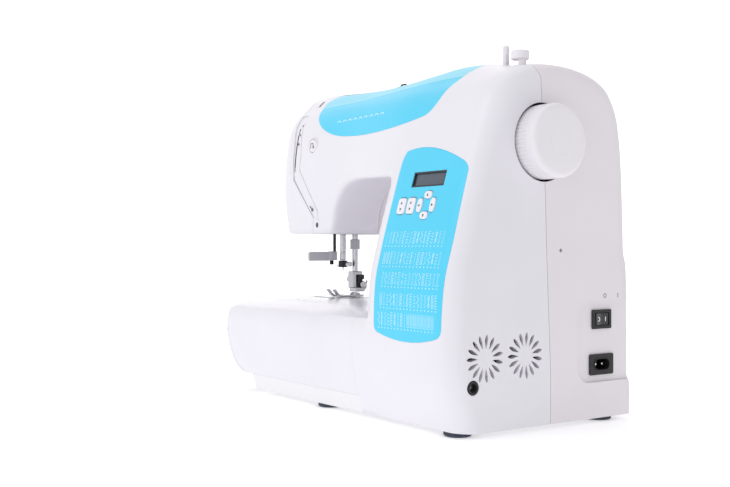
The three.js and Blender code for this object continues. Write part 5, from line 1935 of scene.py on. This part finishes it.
def camera():
    data = bpy.data.cameras.new("camera")
    data.lens = CAMERA_LENS
    data.sensor_width = 36.0
    data.clip_start, data.clip_end = 0.01, 50
    data.shift_y = 1.5 / FRAME_WIDTH
    made = bpy.data.objects.new("camera", data)
    bpy.context.scene.collection.objects.link(made)
    made.location = CAMERA_AT
    made.rotation_euler = (math.radians(90), 0, math.radians(CAMERA_TURN))
    bpy.context.scene.camera = made
    return made


def area_light(name, at, target, size, power):
    data = bpy.data.lights.new(name, "AREA")
    data.shape = "RECTANGLE"
    data.size, data.size_y = size
    data.energy = power
    made = bpy.data.objects.new(name, data)
    bpy.context.scene.collection.objects.link(made)
    made.location = at
    made.rotation_euler = (Vector(target) - Vector(at)).to_track_quat("-Z", "Y").to_euler()
    return made


def floor():
    """A pale floor that curves up into a backdrop far behind the object."""
    work = bmesh.new()
    half, steps = 9.0, 24
    rows = []
    for i in range(steps + 1):
        a = math.pi / 2 * i / steps
        rows.append((4.5 + 1.5 * math.sin(a), 1.5 * (1 - math.cos(a))))
    profile = [(-6.0, 0.0), *rows, (6.0, 6.0)]
    turn = Matrix.Rotation(math.radians(CAMERA_TURN), 4, "Z")
    lines = [[work.verts.new(turn @ Vector((side, d, z))) for side in (-half, half)] for d, z in profile]
    for a, b in zip(lines, lines[1:]):
        work.faces.new((a[0], a[1], b[1], b[0])).smooth = True
    mesh = bpy.data.meshes.new("floor")
    work.to_mesh(mesh)
    work.free()
    made = bpy.data.objects.new("floor", mesh)
    bpy.context.scene.collection.objects.link(made)
    n = Nodes("floor_paint")
    n.tint(n.noise(0.8, 2), "Fac", (0.83, 0.83, 0.835, 1), (0.86, 0.86, 0.865, 1))
    n.set("Roughness", 0.7)
    n.set("Emission Color", (1, 1, 1, 1))
    n.set("Emission Strength", 0.34)
    made.data.materials.append(n.material)
    return made


SKY_TOWARDS = Vector((-0.35, -0.8, 0.5)).normalized()  # the brighter side of the studio
SKY_LOW, SKY_HIGH = 0.47, 0.93


def world():
    """Soft light from all round, stronger from the front left."""
    made = bpy.data.worlds.new("studio")
    bpy.context.scene.world = made
    made.use_nodes = True
    tree = made.node_tree
    sky = tree.nodes["Background"]
    sky.inputs["Color"].default_value = (0.985, 0.98, 1.0, 1)
    place = tree.nodes.new("ShaderNodeTexCoord")
    lean = tree.nodes.new("ShaderNodeVectorMath")
    lean.operation = "DOT_PRODUCT"
    lean.inputs[1].default_value = SKY_TOWARDS
    scale = tree.nodes.new("ShaderNodeMapRange")
    scale.inputs["From Min"].default_value = -1.0
    scale.inputs["To Min"].default_value = SKY_LOW
    scale.inputs["To Max"].default_value = SKY_HIGH
    tree.links.new(place.outputs["Generated"], lean.inputs[0])
    tree.links.new(lean.outputs["Value"], scale.inputs["Value"])
    tree.links.new(scale.outputs["Result"], sky.inputs["Strength"])


camera()
floor()
world()
area_light("key", (-0.6, -2.2, 1.7), (0, 0, 0.15), (1.6, 1.6), 7)
area_light("top", (-0.2, 0.4, 2.4), (0, 0, 0.1), (2.2, 2.2), 7)
area_light("backdrop", (-1.9, 1.3, 2.6), (-4.6, 3.2, 0.6), (4.0, 1.5), 60)
bpy.context.scene.view_settings.view_transform = "Standard"
